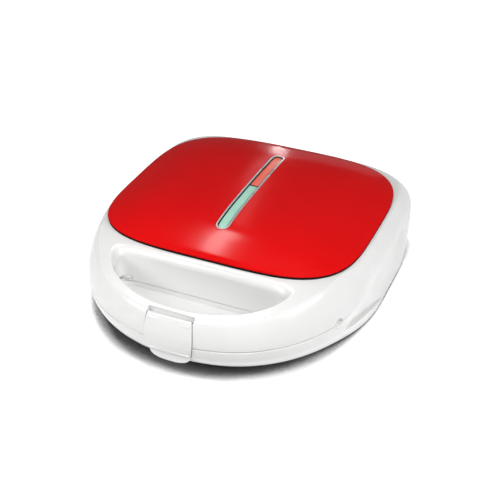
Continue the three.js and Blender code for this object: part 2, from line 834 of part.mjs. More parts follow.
function lamp(side) {
  const y = panelY - windowSetForward + (side * windowLength) / 4;
  const z = panelZ + crownHeight(0, y) - lampDepth;
  return cylinderDeep(lampRadius, y - lampLength / 2, y + lampLength / 2, 0, z);
}

// Latch that hangs from a pin in the handle and laps over the base

function latchClip() {
  const skin = bodySkin(clipProud).subtract(bodySkin(clipProud - clipThickness));
  const plate = clipPrism(0).intersect(skin);
  const rootZ = seamZ - clipFootDepth + tongueThickness + fit;
  const bendZ = seamZ - clipFootDepth - tongueThickness / 2;
  const tipZ = seamZ - tongueDepth;
  const rootReach = handleReach + clipProud - clipThickness - fit;
  const inner = [
    [rootReach, rootZ],
    [tongueBendReach, bendZ],
    [tongueTipReach, tipZ],
  ];
  const outer = inner.map(([reach, z]) => [reach + tongueThickness, z]);
  const profile = [...outer, ...inner.toReversed()].map(([reach, z]) => [frontPlace(reach), z]);
  const half = tongueWidth / 2;
  const front = new THREE.Shape();
  front.moveTo(half, seamZ);
  front.lineTo(-half, seamZ);
  front.lineTo(-half, bendZ);
  front.quadraticCurveTo(-half, tipZ, 0, tipZ);
  front.quadraticCurveTo(half, tipZ, half, bendZ);
  front.closePath();
  const outline = deepPrism(front, frontPlace(handleReach + overrun), bowlY);
  const tongue = acrossPrism(profile, -half, half).intersect(outline);
  const pinY = frontPlace(latchPinReach);
  const pinZ = seamZ + latchPinHeight;
  const web = frontBox(barrelHalf, handleReach - clipThickness, latchPinReach,
    pinZ - latchBarrelRadius * webShare, pinZ + latchBarrelRadius * webShare);
  const tooth = frontBox(catchWidth / 2, rootReach + clipThickness / 2, catchReach + fit,
    rootZ - catchHeight, rootZ);
  const barrel = cylinderAcross(latchBarrelRadius, -barrelHalf, barrelHalf, pinY, pinZ);
  const bore = cylinderAcross(latchPinRadius + fit, -clipWidth, clipWidth, pinY, pinZ);
  return joined([plate, tongue, web, tooth, barrel]).subtract(bore);
}

function latchPin() {
  return cylinderAcross(latchPinRadius, -latchPinHalf, latchPinHalf,
    frontPlace(latchPinReach), seamZ + latchPinHeight);
}

// Pieces of the base

function lowerHousing() {
  const filled = baseFilled();
  const inside = (solid) => solid.intersect(filled);
  const rimFoot = seamZ - ledgeDepth - ledgeThickness;
  const deckTop = seamZ - wellDeckDepth;
  const blockHalf = clipWidth / 2 + clipSideGap + latchBlockMargin;
  const shell = joined([
    filled.subtract(baseCavity()),
    inside(rimBlock(rimFoot, seamZ)),
    inside(slab(wellY, reachTo((x, y) => wellLevel(x, y, 0, wellWall), wellY), deckTop - wellWall, seamZ)),
    inside(frontBox(blockHalf, handleReach + overrun, latchChannelReach - wellWall, footHeight, seamZ)),
    ...footSpots().map(([x, y]) =>
      inside(cylinder(footRadius + fit + shellWall, footSeat + shellWall, x, y, footHeight)),
    ),
    inside(cylinderDeep(glandRadius + fit + shellWall, glandY - glandDepth, glandY, glandOffset, glandZ)),
  ]);
  const opened = cutBy(shell, [
    slab(bowlY, bowlReach, seamZ - ledgeDepth, seamZ + overrun),
    slab(bowlY, openingReach, rimFoot - fit, seamZ, hiddenAngles),
    slab(wellY, reachTo((x, y) => wellLevel(x, y, 0), wellY), deckTop, seamZ + overrun),
  ]);
  const ears = sides.flatMap((side) => {
    const middle = (side * hingeSpacing) / 2;
    return sides.map((end) => {
      const near = middle + end * (knuckleLength / 2 + fit);
      const far = near + end * earThickness;
      return hingeEar(Math.min(near, far), Math.max(near, far), -1);
    });
  });
  const catchRidge = frontBox(catchWidth / 2, catchReach, latchChannelReach - wellWall / 2,
    catchRidgeZ, catchRidgeZ + catchHeight);
  const clipRoom = joined([
    clipPrism(clipSideGap),
    frontBox(tongueWidth / 2 + clipSideGap, handleReach + overrun, latchChannelReach,
      seamZ - tongueDepth, seamZ),
  ]);
  const fitted = joined([opened, ...screwBosses(-ledgeDepth, footHeight).map(inside), ...ears]);
  return cutBy(fitted, [
    clipRoom,
    nubWindow(1, wellRearReach + nubReach, wellRearReach - wellWall - overrun / 4),
    ...ventNotches(),
    ...sides.map((side) => hingeHole((side * hingeSpacing) / 2)),
    ...screwHoles(-1),
    ...footSpots().map(([x, y]) => cylinder(footRadius + fit, footSeat + fit, x, y, footHeight - fit)),
    cylinderDeep(glandRadius + fit, glandY - glandDepth - overrun, glandY + overrun, glandOffset, glandZ),
    cylinderDeep(glandRadius + glandFlange + fit, glandY, glandY + overrun, glandOffset, glandZ),
  ]).add(catchRidge);
}

function footSpots() {
  return sides.flatMap((end) =>
    sides.map((side) => [(side * footSpacingX) / 2, undersideY + (end * footSpacingY) / 2]),
  );
}

function foot([x, y]) {
  return cylinder(footRadius - footTaper, footHeight + footSeat - fit, x, y, 0, footRadius);
}

function cordGland() {
  const rear = glandY + glandFlange;
  const sleeve = cylinderDeep(glandRadius, glandY - glandDepth, rear, glandOffset, glandZ);
  const flange = cylinderDeep(glandRadius + glandFlange, glandY + fit, rear, glandOffset, glandZ);
  const bore = cylinderDeep(cordBore / 2, glandY - rearReach, glandY + overrun, glandOffset, glandZ);
  return sleeve.add(flange).subtract(bore);
}

function terminalBlock() {
  const z = footHeight + shellWall + fit;
  const y = glandY - glandDepth - 2 * terminalDepth;
  const body = box(glandOffset - terminalWidth / 2, glandOffset + terminalWidth / 2,
    y - terminalDepth / 2, y + terminalDepth / 2, z, z + terminalHeight);
  const wells = [-1, 0, 1].map((step) => {
    const x = glandOffset + (step * terminalWidth) / 3;
    return cylinder(terminalDepth / 5, terminalHeight, x, y, z + terminalHeight / 2);
  });
  return cutBy(body, wells);
}

function hingePin(side) {
  const half = knuckleLength / 2 + earThickness;
  const middle = (side * hingeSpacing) / 2;
  return cylinderAcross(hingePinRadius, middle - half, middle + half, hingeY, seamZ);
}

// Pieces that both halves have, drawn for the base; the lid's copies are turned over about the parting line

const plateOutline = (growth) =>
  roundedRectangle(plateWidth / 2 + growth, plateDepth / 2 + growth, plateY, plateCorner + growth);
const plateFront = plateY - plateDepth / 2;
const slideY = (plateFront + bowlY - wellRearReach + wellWall) / 2 + slideShift;

function depthBox(x0, x1, y0, y1, nearDepth, farDepth) {
  return box(x0, x1, y0, y1, seamZ - farDepth, seamZ - nearDepth);
}

function innerFrame() {
  const through = frameBottomDepth + overrun;
  const screwSeatZ = seamZ - screwTopDepth - screwHeadHeight - fit;
  const slideHalf = slideLength / 2 + fit;
  const bodyHalf = slideWidth / 2 + fit;
  const fingerHalf = catchWidth / 2 + fit;
  const cutters = [
    upPrism(plateOutline(fit), seamZ - lipTopDepth, seamZ),
    upPrism(plateOutline(-lipWidth), seamZ - through, seamZ),
    depthBox(slideOffset - slideHalf, slideOffset + slideHalf + slideTravel,
      slideY - bodyHalf, slideY + bodyHalf, 0, slideTopDepth + slideThickness + fit),
    depthBox(slideOffset - fingerHalf, slideOffset + fingerHalf + slideTravel,
      slideY, plateFront, 0, slideTopDepth + fingerThickness + fit),
    nubWindow(1, wellRearReach, bowlY - slideY),
    ...sides.map((side) => {
      const x = (side * tabSpacing) / 2;
      const half = tabWidth / 2 + fit;
      const rear = plateY + plateDepth / 2;
      return depthBox(x - half, x + half, rear - fit, rear + tabLength + fit,
        flangeBottomDepth - tabThickness - fit, lipTopDepth);
    }),
    ...screwSpots().flatMap(([x, y]) => [
      cylinder(screwHeadRadius + fit, screwHeadHeight + fit + overrun, x, y, screwSeatZ),
      cylinder(screwShankRadius + fit, through, x, y, seamZ - through),
    ]),
  ];
  return cutBy(slab(bowlY, frameReach, seamZ - frameBottomDepth, seamZ - rimGap), cutters);
}

// Screw with a flat head and a slot across it
function frameScrew([x, y]) {
  const top = seamZ - screwTopDepth;
  const head = cylinder(screwHeadRadius, screwHeadHeight, x, y, top - screwHeadHeight);
  const shankFoot = top - screwHeadHeight / 2 - screwShankLength;
  const shank = cylinder(screwShankRadius, screwShankLength, x, y, shankFoot);
  const slotHalf = screwShankRadius / 3;
  const slot = box(x - screwHeadRadius, x + screwHeadRadius, y - slotHalf, y + slotHalf,
    top - screwHeadHeight / 2, top + fit);
  return head.add(shank).subtract(slot);
}

// The two right triangles of each half of the plate, split along a diagonal
function pocketCorners() {
  const outer = plateWidth / 2 - pocketInset + ridgeGap / 2;
  const front = plateY - plateDepth / 2 + pocketInset - ridgeGap / 2;
  const rear = plateY + plateDepth / 2 - pocketInset + ridgeGap / 2;
  return sides.flatMap((side) => {
    const point = (x, y) => new THREE.Vector2(side * x, y);
    const pair = [
      [point(0, front), point(outer, front), point(outer, rear)],
      [point(0, front), point(outer, rear), point(0, rear)],
    ];
    return side > 0 ? pair : pair.map((corners) => corners.toReversed());
  });
}

// Ring round a triangle, moved in by an inset and rounded at its corners
function triangleRing(corners, inset, radius, z) {
  return corners.flatMap((corner, i) => {
    const before = corner.clone().sub(corners[(i + 2) % 3]).normalize();
    const after = corners[(i + 1) % 3].clone().sub(corner).normalize();
    const normals = [before, after].map((way) => new THREE.Vector2(-way.y, way.x));
    const toCentre = normals[0].clone().add(normals[1]);
    toCentre.multiplyScalar((inset + radius) / (1 + normals[0].dot(normals[1])));
    const start = Math.atan2(-normals[0].y, -normals[0].x);
    const turn = Math.atan2(before.cross(after), before.dot(after));
    return Array.from({ length: cornerSegments + 1 }, (_, k) => {
      const angle = start + (turn * k) / cornerSegments;
      const x = corner.x + toCentre.x + radius * Math.cos(angle);
      const y = corner.y + toCentre.y + radius * Math.sin(angle);
      return new THREE.Vector3(x, y, z);
    });
  });
}

// A pocket, or with growth the bulge under it, from a top height down
function pocketSolid(corners, growth, topZ) {
  const depthShares = [0, 0.14, 0.85, 1];
  const draftShares = [0, 0.15, 0.5, 1];
  const surface = seamZ - plateGap - growth;
  const radiusAt = (draft) => pocketCorner * (1 - draft / 2) + growth;
  const insetAt = (draft) => ridgeGap / 2 - growth + pocketDraft * draft;
  const ringAt = (draft, z) => triangleRing(corners, insetAt(draft), radiusAt(draft), z);
  const lower = depthShares.map((share, i) => ringAt(draftShares[i], surface - pocketDepth * share));
  const rings = [ringAt(0, topZ), ...lower];
  const middle = (z) => {
    const sum = rings[0].reduce((total, point) => total.add(point), new THREE.Vector3());
    return sum.divideScalar(rings[0].length).setZ(z);
  };
  return loft(middle(topZ), rings, middle(surface - pocketDepth));
}

function cookingPlate() {
  const top = seamZ - plateGap;
  const flange = upPrism(plateOutline(0), top - plateFlange, top);
  const bulges = pocketCorners().map((corners) => pocketSolid(corners, plateWall, top - plateFlange / 2));
  const rear = plateY + plateDepth / 2;
  const tabs = sides.map((side) => {
    const x = (side * tabSpacing) / 2;
    return depthBox(x - tabWidth / 2, x + tabWidth / 2, rear - tabLength, rear + tabLength,
      flangeBottomDepth - tabThickness, flangeBottomDepth);
  });
  const half = catchWidth / 2 + fit;
  const ledgeCut = depthBox(slideOffset - half, slideOffset + half + slideTravel, plateFront - fit,
    plateFront + fingerLap + fit, 0, slideTopDepth + fingerThickness + fit);
  const releaseCut = depthBox(slideOffset + slideTravel - half, slideOffset + slideTravel + half,
    plateFront - fit, plateFront + fingerLap + fit, 0, frameBottomDepth);
  const pockets = pocketCorners().map((corners) => pocketSolid(corners, 0, seamZ));
  return cutBy(joined([flange, ...bulges, ...tabs]), [...pockets, ledgeCut, releaseCut]);
}

function plateRelease() {
  const body = depthBox(slideOffset - slideLength / 2, slideOffset + slideLength / 2,
    slideY - slideWidth / 2, slideY + slideWidth / 2, slideTopDepth, slideTopDepth + slideThickness);
  const finger = depthBox(slideOffset - catchWidth / 2, slideOffset + catchWidth / 2,
    slideY, plateFront + fingerLap, slideTopDepth, slideTopDepth + fingerThickness);
  const nub = depthBox(slideOffset - nubWidth / 2, slideOffset + nubWidth / 2,
    bowlY - wellRearReach - nubReach, slideY, nubTopDepth + fit, frameBottomDepth - fit);
  return joined([body, finger, nub]);
}

// Ring of a rounded rectangle like the plate's outline, moved in by an inset
function plateRing(inset, depth) {
  const points = plateOutline(-inset).extractPoints(cornerSegments).shape;
  return points.slice(0, -1).map((point) => new THREE.Vector3(point.x, point.y, seamZ - depth));
}

function reflectorPan() {
  const wallInset = reflectorInset + reflectorFlange;
  const floorInset = wallInset + reflectorDraft;
  const rings = [
    plateRing(floorInset + reflectorSheet, panFloorDepth),
    plateRing(wallInset + reflectorSheet, panTopDepth),
    plateRing(reflectorInset, panTopDepth),
    plateRing(reflectorInset, panTopDepth + reflectorSheet),
    plateRing(wallInset, panTopDepth + reflectorSheet),
    plateRing(floorInset, panFloorDepth + reflectorSheet),
  ];
  const pan = loft(axisPoint(plateY, seamZ - panFloorDepth), rings,
    axisPoint(plateY, seamZ - panFloorDepth - reflectorSheet));
  const holes = sides.map((side) =>
    cylinder(elementRadius + fit, panFloorDepth, (side * elementTailSpacing) / 2, elementRearY,
      seamZ - 2 * panFloorDepth),
  );
  return cutBy(pan, holes);
}

const elementHalfX = plateWidth / 2 - elementInset;
const elementHalfY = plateDepth / 2 - elementInset;
const elementRearY = plateY + elementHalfY;

// Centre line of the element: up from one end, round under the plate's edge, and down at the other
function elementPath() {
  const bendSteps = 4;
  const z = seamZ - elementDepth;
  const tail = elementTailSpacing / 2;
  const points = [new THREE.Vector3(tail, elementRearY, z - elementTailBend - elementTail)];
  for (let i = 0; i <= bendSteps; i++) {
    const angle = (i / bendSteps) * (wholeTurn / 4);
    const x = tail + elementTailBend * (1 - Math.cos(angle));
    points.push(new THREE.Vector3(x, elementRearY, z - elementTailBend * (1 - Math.sin(angle))));
  }
  const half = [
    [elementHalfX - elementBend, elementHalfY - elementBend, 1 / 4],
    [elementHalfX - elementBend, -elementHalfY + elementBend, 0],
  ];
  for (const [x, y, startTurn] of half) {
    for (let i = 0; i <= bendSteps; i++) {
      const angle = (startTurn - i / bendSteps / 4) * wholeTurn;
      const bendX = x + elementBend * Math.cos(angle);
      const bendY = plateY + y + elementBend * Math.sin(angle);
      points.push(new THREE.Vector3(bendX, bendY, z));
    }
  }
  const mirrored = points.map((point) => new THREE.Vector3(-point.x, point.y, point.z)).reverse();
  return [...points, ...mirrored];
}

function heatingElement() {
  const path = elementPath();
  const up = new THREE.Vector3(0, 0, 1);
  const back = new THREE.Vector3(0, 1, 0);
  const steep = 0.999;
  const rings = path.map((point, i) => {
    const into = point.clone().sub(path[Math.max(0, i - 1)]).normalize();
    const out = path[Math.min(path.length - 1, i + 1)].clone().sub(point).normalize();
    const way = into.clone().add(out).normalize();
    const side = Math.abs(way.z) > steep ? back.clone() : up.clone().cross(way).normalize();
    const other = side.clone().cross(way);
    return Array.from({ length: elementFacets }, (_, k) => {
      const angle = (k / elementFacets) * wholeTurn;
      const offset = side.clone().multiplyScalar(Math.cos(angle) * elementRadius);
      return point.clone().add(offset.addScaledVector(other, Math.sin(angle) * elementRadius));
    });
  });
  return loft(path[0], rings, path[path.length - 1]);
}

// Saddle on the pan's floor that the element rests in
function elementSupport(side) {
  const x = side * elementHalfX;
  const half = elementRadius - fit;
  const block = depthBox(x - half, x + half, plateY - supportWidth / 2, plateY + supportWidth / 2,
    elementDepth + elementRadius / 2, panFloorDepth - fit);
  const front = plateY - supportWidth;
  const rear = plateY + supportWidth;
  return block.subtract(cylinderDeep(elementRadius + fit, front, rear, x, seamZ - elementDepth));
}

// Thermostat with two blade terminals, on the back of the lid's pan
function thermostat() {
  const top = seamZ - panFloorDepth - reflectorSheet - fit;
  const can = cylinder(thermostatRadius, thermostatHeight, 0, plateY, top - thermostatHeight);
  const blades = sides.map((side) => {
    const x = (side * thermostatRadius) / 2;
    const half = bladeThickness / 2;
    return box(x - half, x + half, plateY - bladeWidth / 2, plateY + bladeWidth / 2,
      top - thermostatHeight - bladeLength, top - thermostatHeight / 2);
  });
  return joined([can, ...blades]);
}

function thermalFuse() {
  const z = seamZ - panFloorDepth - reflectorSheet - fit - fuseRadius;
  const y = plateY + thermostatRadius + fuseLength;
  const leadHalf = fuseLength;
  return cylinderAcross(fuseRadius, -fuseLength / 2, fuseLength / 2, y, z)
    .add(cylinderAcross(fuseRadius / 4, -leadHalf, leadHalf, y, z));
}

// Materials

const plain = (color, roughness, metalness = 0) =>
  new THREE.MeshStandardMaterial({ color, roughness, metalness });
const whitePlastic = () => plain(0xf1f1ef, 0.25);
const redEnamel = () => plain(0xc8171a, 0.2, 0.1);
const greenLens = () => plain(0x7fdcc0, 0.2);
const orangeLens = () => plain(0xe8583c, 0.2);
const clearTrim = () => plain(0xd9dadb, 0.15);
const lampGlass = () => plain(0xf4e6d2, 0.1);
const nonstick = () => plain(0x242426, 0.45, 0.2);
const blackPlastic = () => plain(0x2b2b2d, 0.5);
const brightSteel = () => plain(0xb9bcc0, 0.3, 1);
const aluminium = () => plain(0xc9cccf, 0.35, 1);
const blackRubber = () => plain(0x1b1b1c, 0.8);
const ceramic = () => plain(0xe9e4d8, 0.6);

const part = new THREE.Group();

function place(name, solid, material, group = part) {
  const mesh = new THREE.Mesh(geometryOf(solid), material());
  mesh.name = name;
  group.add(mesh);
}

// The lid's half of the cooking parts is the base's half turned over about the parting line
const turnedOver = new THREE.Group();
turnedOver.position.z = 2 * seamZ;
turnedOver.rotation.y = wholeTurn / 2;
part.add(turnedOver);

const halves = [
  { level: "lower", group: part, right: 1 },
  { level: "upper", group: turnedOver, right: -1 },
];

for (const { level, group, right } of halves) {
  place(`${level}_inner_frame`, innerFrame(), blackPlastic, group);
  place(`${level}_cooking_plate`, cookingPlate(), nonstick, group);
  place(`${level}_reflector_pan`, reflectorPan(), aluminium, group);
  place(`${level}_heating_element`, heatingElement(), brightSteel, group);
  place(`${level}_plate_release`, plateRelease(), whitePlastic, group);
  for (const side of sides) {
    const hand = side * right > 0 ? "right" : "left";
    place(`${level}_element_support_${hand}`, elementSupport(side), ceramic, group);
  }
  for (const [x, y] of screwSpots()) {
    const end = y < plateY ? "front" : "rear";
    const hand = x * right > 0 ? "right" : "left";
    place(`${level}_frame_screw_${end}_${hand}`, frameScrew([x, y]), brightSteel, group);
  }
}

place("upper_housing", upperHousing(), whitePlastic);
place("top_panel", topPanel(), redEnamel);
place("lamp_bezel", lampBezel(), clearTrim);
place("ready_lens", lens(true), greenLens);
place("power_lens", lens(false), orangeLens);
place("lamp_carrier", lampCarrier(), whitePlastic);
place("ready_lamp", lamp(-1), lampGlass);
place("power_lamp", lamp(1), lampGlass);
place("thermostat", thermostat(), ceramic, turnedOver);
place("thermal_fuse", thermalFuse(), ceramic, turnedOver);
place("latch_clip", latchClip(), whitePlastic);
place("latch_pin", latchPin(), brightSteel);
place("lower_housing", lowerHousing(), whitePlastic);
place("cord_gland", cordGland(), blackRubber);
place("terminal_block", terminalBlock(), ceramic);
for (const [x, y] of footSpots()) {
  place(`foot_${y < undersideY ? "front" : "rear"}_${x > 0 ? "right" : "left"}`, foot([x, y]), blackRubber);
}
for (const side of sides) {
  place(`hinge_pin_${side > 0 ? "right" : "left"}`, hingePin(side), brightSteel);
}

export default part;
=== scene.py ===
"""Looks of a three-in-one sandwich maker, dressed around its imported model.

Sizes are in millimetres and turn into metres when a mesh is made. Finishes, floor and lamps are in metres.
+Z is up and the handle points to -Y.
"""
import math

import bpy
import numpy as np
from mathutils import Matrix, Vector


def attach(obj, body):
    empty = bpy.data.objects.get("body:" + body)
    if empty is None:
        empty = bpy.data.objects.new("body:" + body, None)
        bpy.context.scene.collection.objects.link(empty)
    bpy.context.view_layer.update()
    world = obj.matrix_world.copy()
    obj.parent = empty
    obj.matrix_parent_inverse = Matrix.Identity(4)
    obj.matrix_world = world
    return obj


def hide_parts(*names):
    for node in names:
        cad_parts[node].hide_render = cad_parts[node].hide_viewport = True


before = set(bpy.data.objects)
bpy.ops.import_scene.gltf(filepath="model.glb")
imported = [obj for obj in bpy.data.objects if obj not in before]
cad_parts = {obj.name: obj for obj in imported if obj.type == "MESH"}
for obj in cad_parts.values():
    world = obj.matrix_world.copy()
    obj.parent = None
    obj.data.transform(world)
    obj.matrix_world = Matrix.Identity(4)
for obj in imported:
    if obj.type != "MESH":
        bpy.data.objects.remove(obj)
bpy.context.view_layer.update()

METRE = 0.001

# Overall form
BODY_WIDTH = 223
FOOT_HEIGHT = 4
BASE_HEIGHT = 41
LID_HEIGHT = 34
HANDLE_REACH = 116
REAR_REACH = 145
SEAM_FRONT_POWER = 2.16
SEAM_REAR_POWER = 11
SHELL_WALL = 2.6
FIT = 0.3
OVERRUN = 20

# Red panel
PANEL_SIDE_MARGIN = 6.5
PANEL_DEPTH = 185
PANEL_FRONT_POWER = 4.2
PANEL_REAR_POWER = 3.5
PANEL_SET_BACK = 40
PANEL_CROWN = 12.8
CROWN_POWER = 3.6
PANEL_SHEET = 0.9
PANEL_EDGE = 0.8
# Black strip under the cover's edge: a seal that is also painted shade for the gap there
COVER_SEAL_AND_SHADE_HEIGHT = 2.1
COVER_SEAL_AND_SHADE_SET_IN = 0.25
COVER_SEAL_AND_SHADE_WIDTH = 0.75

# Lid
RIM_SIDE_INSET = 9.8
RIM_FRONT_INSET = 6.6
SHOULDER_WIDTH = 1.5
SHOULDER_REAR_GROWTH = 4
SHOULDER_REAR_POWER = 4.6
APRON_SINK = 2.4
APRON_FOLD = 84
APRON_FOLD_SOFTNESS = 5
APRON_SLOPE = 9.4
STEP_WIDTH = 1.4
STEP_DROP = 0.8
WALL_BULGE_POWER = 2.2
STEP_EDGE = 0.5
SEAM_EDGE = 0.6

# Finger well
HANDLE_TOP_WIDTH = 6
WELL_REAR_REACH = 59
WELL_MIDDLE_REACH = 78
WELL_SIDE_INSET = 43.5
WELL_END_FLARE = 9
WELL_REAR_FLARE = 5
WELL_FILLET_DEPTH = 6
WELL_WALL = 2.4
WELL_DECK_DEPTH = 5
WELL_CORNER_POWER = 9

# Base
UNDERSIDE_SIDE_INSET = 0.6
UNDERSIDE_FRONT_DEPTH = 90
UNDERSIDE_REAR_DEPTH = 88
UNDERSIDE_SET_BACK = 50
UNDERSIDE_FRONT_POWER = 2.7
UNDERSIDE_REAR_POWER = 7
FLANK_POWER = 2
FLANK_RECESS = 2.8
FLANK_FRONT_REACH = 45
FLANK_REAR_REACH = 112
FLANK_FADE = 32
LIP_SWEEP_START = 38
LIP_SWEEP_LENGTH = 92
LIP_FIRST_SHARE = 0.3
LIP_LAST_SHARE = 0.97
LIP_MERGE_SHARE = 0.85
VENT_DIAMETER = 8.5
VENT_DEPTH = 1.6
VENT_SET_FORWARD = 46

# Rims, ledge and frame
RIM_GAP = 0.3
RIM_WALL = 2.8
LEDGE_DEPTH = 5
LEDGE_WIDTH = 3
LEDGE_THICKNESS = 3
FRAME_THICKNESS = 4.4

# Cooking plates
PLATE_SIDE_ROOM = 14
PLATE_FRONT_ROOM = 14.6
PLATE_REAR_ROOM = 47
PLATE_CORNER = 14
PLATE_GAP = 0.2
PLATE_FLANGE = 2.2
PLATE_WALL = 2.2
POCKET_DEPTH = 11
POCKET_DRAFT = 7.5
POCKET_CORNER = 9
POCKET_BROW = 1.6
POCKET_FLOOR_ROUND = 3.2
POCKET_STEPS = 6
POCKET_WALL_SHARES = ((0.12, 0.25), (0.3, 0.5))
FLOOR_DRAFT_SHARE = 0.5
RIDGE_GAP = 7
TAB_WIDTH = 12
TAB_LENGTH = 3.4
TAB_THICKNESS = 1
TAB_SPACING = 100
ELEMENT_INSET = 8.3
ELEMENT_RADIUS = 2.8

# Plate release slides
SLIDE_SIDE_INSET = 33.5
SLIDE_TRAVEL = 6
SLIDE_TOP_DEPTH = 0.8
FINGER_THICKNESS = 1.2
FINGER_LAP = 2.4
NUB_WIDTH = 8
NUB_REACH = 3
NUB_TOP_DEPTH = 1.7
CATCH_WIDTH = 6

# Latch clip
CLIP_WIDTH = 38
CLIP_PROUD = 1.3
CLIP_THICKNESS = 2.6
CLIP_SIDE_GAP = 0.5
CLIP_TOP_HEIGHT = 20
CLIP_FOOT_DEPTH = 9.5
CLIP_BOW = 2
TONGUE_DEPTH = 17
TONGUE_WIDTH = 33
TONGUE_THICKNESS = 2.4
TONGUE_BEND_INSET = 5.4
TONGUE_TIP_INSET = 3.4
LATCH_PIN_INSET = 7.4
LATCH_PIN_HEIGHT = 15.5
LATCH_PIN_RADIUS = 1.1
LATCH_PIN_HALF = 22
LATCH_BARREL_RADIUS = 2.6
BARREL_HALF = 16
LATCH_BLOCK_MARGIN = 5
LATCH_POCKET_DEPTH = 10.4
LATCH_CHANNEL_DEPTH = 6.4
CATCH_PROUD = 1.3
CATCH_HEIGHT = 2.5
CATCH_DROP = 5.6
WEB_SHARE = 0.7

# Rear hinge
HINGE_SET_BACK = 6
KNUCKLE_RADIUS = 5.1
HINGE_SIDE_INSET = 49.5
KNUCKLE_LENGTH = 9
EAR_THICKNESS = 5
HINGE_PIN_RADIUS = 2
HINGE_WEB = 16

# Lamp window
WINDOW_LENGTH = 121
WINDOW_WIDTH = 11.5
WINDOW_SET_FORWARD = 5.5
WINDOW_RIM = 1.1
WINDOW_LIP = 0.29
WINDOW_SINK = 1.4
LENS_CROWN = 0.6
LENS_SEAL_WIDTH = 0.8
LENS_SEAL_RISE = 1.1
LENS_THICKNESS = 2.2
READY_LENS_SHARE = 0.53

# Feet, screws and cord inlet
FOOT_RADIUS = 8
FOOT_SEAT = 2
FOOT_SIDE_INSET = 35.9
FOOT_END_INSET = 25
BOSS_RADIUS = 4.5
SCREW_SHANK_RADIUS = 1.5
SCREW_SHANK_LENGTH = 12
SCREW_SIDE_INSET = 24.5
SCREW_FRONT_INSET = 7.5
SCREW_REAR_INSET = 24
GLAND_RADIUS = 5.6
GLAND_FLANGE = 2
GLAND_SIDE_ROOM = 18
GLAND_DEPTH = 8
GLAND_HEIGHT = 22
GLAND_SET_IN = 2

# How fine the visible skins are
SKIN_DIRECTIONS = 320
HIDDEN_STEP = 5
ROUND_SEGMENTS = 48
CORNER_SEGMENTS = 10
EDGE_STEPS = 3
SEARCH_STEPS = 40
OUTLINE_BLEND = 60
CLIP_VOXEL = 0.28
CLIP_SMOOTHING = 4
CLIP_SMOOTHING_SHARE = 0.5
ROUND_END_SHARE = 0.999
LEAST_SLOPE = 1e-6

# Places worked out from the sizes
TURN = 2 * math.pi
QUARTER = TURN / 4
SEAM_Z = FOOT_HEIGHT + BASE_HEIGHT
LID_FLOOR = SEAM_Z + RIM_GAP
BASE_TOP = SEAM_Z - RIM_GAP
PANEL_Z = SEAM_Z + LID_HEIGHT
ABOVE_ALL = PANEL_Z + OVERRUN
HINGE_REACH = REAR_REACH + HINGE_SET_BACK
PANEL_WIDTH = BODY_WIDTH - 2 * PANEL_SIDE_MARGIN
RIM_HALF_WIDTH = BODY_WIDTH / 2 - RIM_SIDE_INSET
RIM_REACH = HANDLE_REACH - RIM_FRONT_INSET
WELL_HALF_WIDTH = BODY_WIDTH / 2 - WELL_SIDE_INSET
UNDERSIDE_HALF_WIDTH = BODY_WIDTH / 2 - UNDERSIDE_SIDE_INSET
PLATE_WIDTH = BODY_WIDTH - 2 * PLATE_SIDE_ROOM
PLATE_FRONT_REACH = WELL_REAR_REACH - WELL_WALL - PLATE_FRONT_ROOM
PLATE_REAR_REACH = REAR_REACH - PLATE_REAR_ROOM
PLATE_DEPTH = PLATE_FRONT_REACH + PLATE_REAR_REACH
SLIDE_OFFSET = PLATE_WIDTH / 2 - SLIDE_SIDE_INSET
HINGE_SPACING = BODY_WIDTH - 2 * HINGE_SIDE_INSET
SCREW_SPACING_X = BODY_WIDTH - 2 * SCREW_SIDE_INSET
FOOT_SPACING_X = 2 * (UNDERSIDE_HALF_WIDTH - FOOT_SIDE_INSET)
FOOT_SPACING_Y = UNDERSIDE_FRONT_DEPTH + UNDERSIDE_REAR_DEPTH - 2 * FOOT_END_INSET
TONGUE_BEND_REACH = HANDLE_REACH - TONGUE_BEND_INSET
TONGUE_TIP_REACH = HANDLE_REACH - TONGUE_TIP_INSET
LATCH_PIN_REACH = HANDLE_REACH - LATCH_PIN_INSET
LATCH_POCKET_REACH = HANDLE_REACH - LATCH_POCKET_DEPTH
LATCH_CHANNEL_REACH = HANDLE_REACH - LATCH_CHANNEL_DEPTH
CATCH_REACH = LATCH_CHANNEL_REACH + CATCH_PROUD
GLAND_OFFSET = HINGE_SPACING / 2 - GLAND_SIDE_ROOM
BOWL_Y = (HANDLE_REACH + CLIP_PROUD - HINGE_REACH - KNUCKLE_RADIUS) / 2
HINGE_Y = BOWL_Y + HINGE_REACH
PANEL_Y = BOWL_Y + PANEL_SET_BACK
PLATE_Y = BOWL_Y + (PLATE_REAR_REACH - PLATE_FRONT_REACH) / 2
UNDERSIDE_Y = BOWL_Y + UNDERSIDE_SET_BACK
WELL_Y = BOWL_Y - WELL_MIDDLE_REACH
WINDOW_Y = PANEL_Y - WINDOW_SET_FORWARD
DECK_DROP = PANEL_SHEET + FIT
FRAME_BOTTOM_DEPTH = RIM_GAP + FRAME_THICKNESS
FLANGE_BOTTOM_DEPTH = PLATE_GAP + PLATE_FLANGE
POCKET_INSET = ELEMENT_INSET + ELEMENT_RADIUS + FIT + PLATE_WALL
CATCH_RIDGE_Z = SEAM_Z - CATCH_DROP
GLAND_Y = BOWL_Y + REAR_REACH - GLAND_SET_IN
PLATE_FRONT = BOWL_Y - PLATE_FRONT_REACH
PLATE_REAR = BOWL_Y + PLATE_REAR_REACH
PAST_HANDLE = HANDLE_REACH + OVERRUN
LATCH_PIN_Z = SEAM_Z + LATCH_PIN_HEIGHT
LATCH_PIN_Y = BOWL_Y - LATCH_PIN_REACH
SEAT_GAP = FIT / 6
SIDES = (-1, 1)

DIRECTIONS = np.arange(SKIN_DIRECTIONS) / SKIN_DIRECTIONS * TURN
HIDDEN_DIRECTIONS = DIRECTIONS[::HIDDEN_STEP]


# Mesh helpers

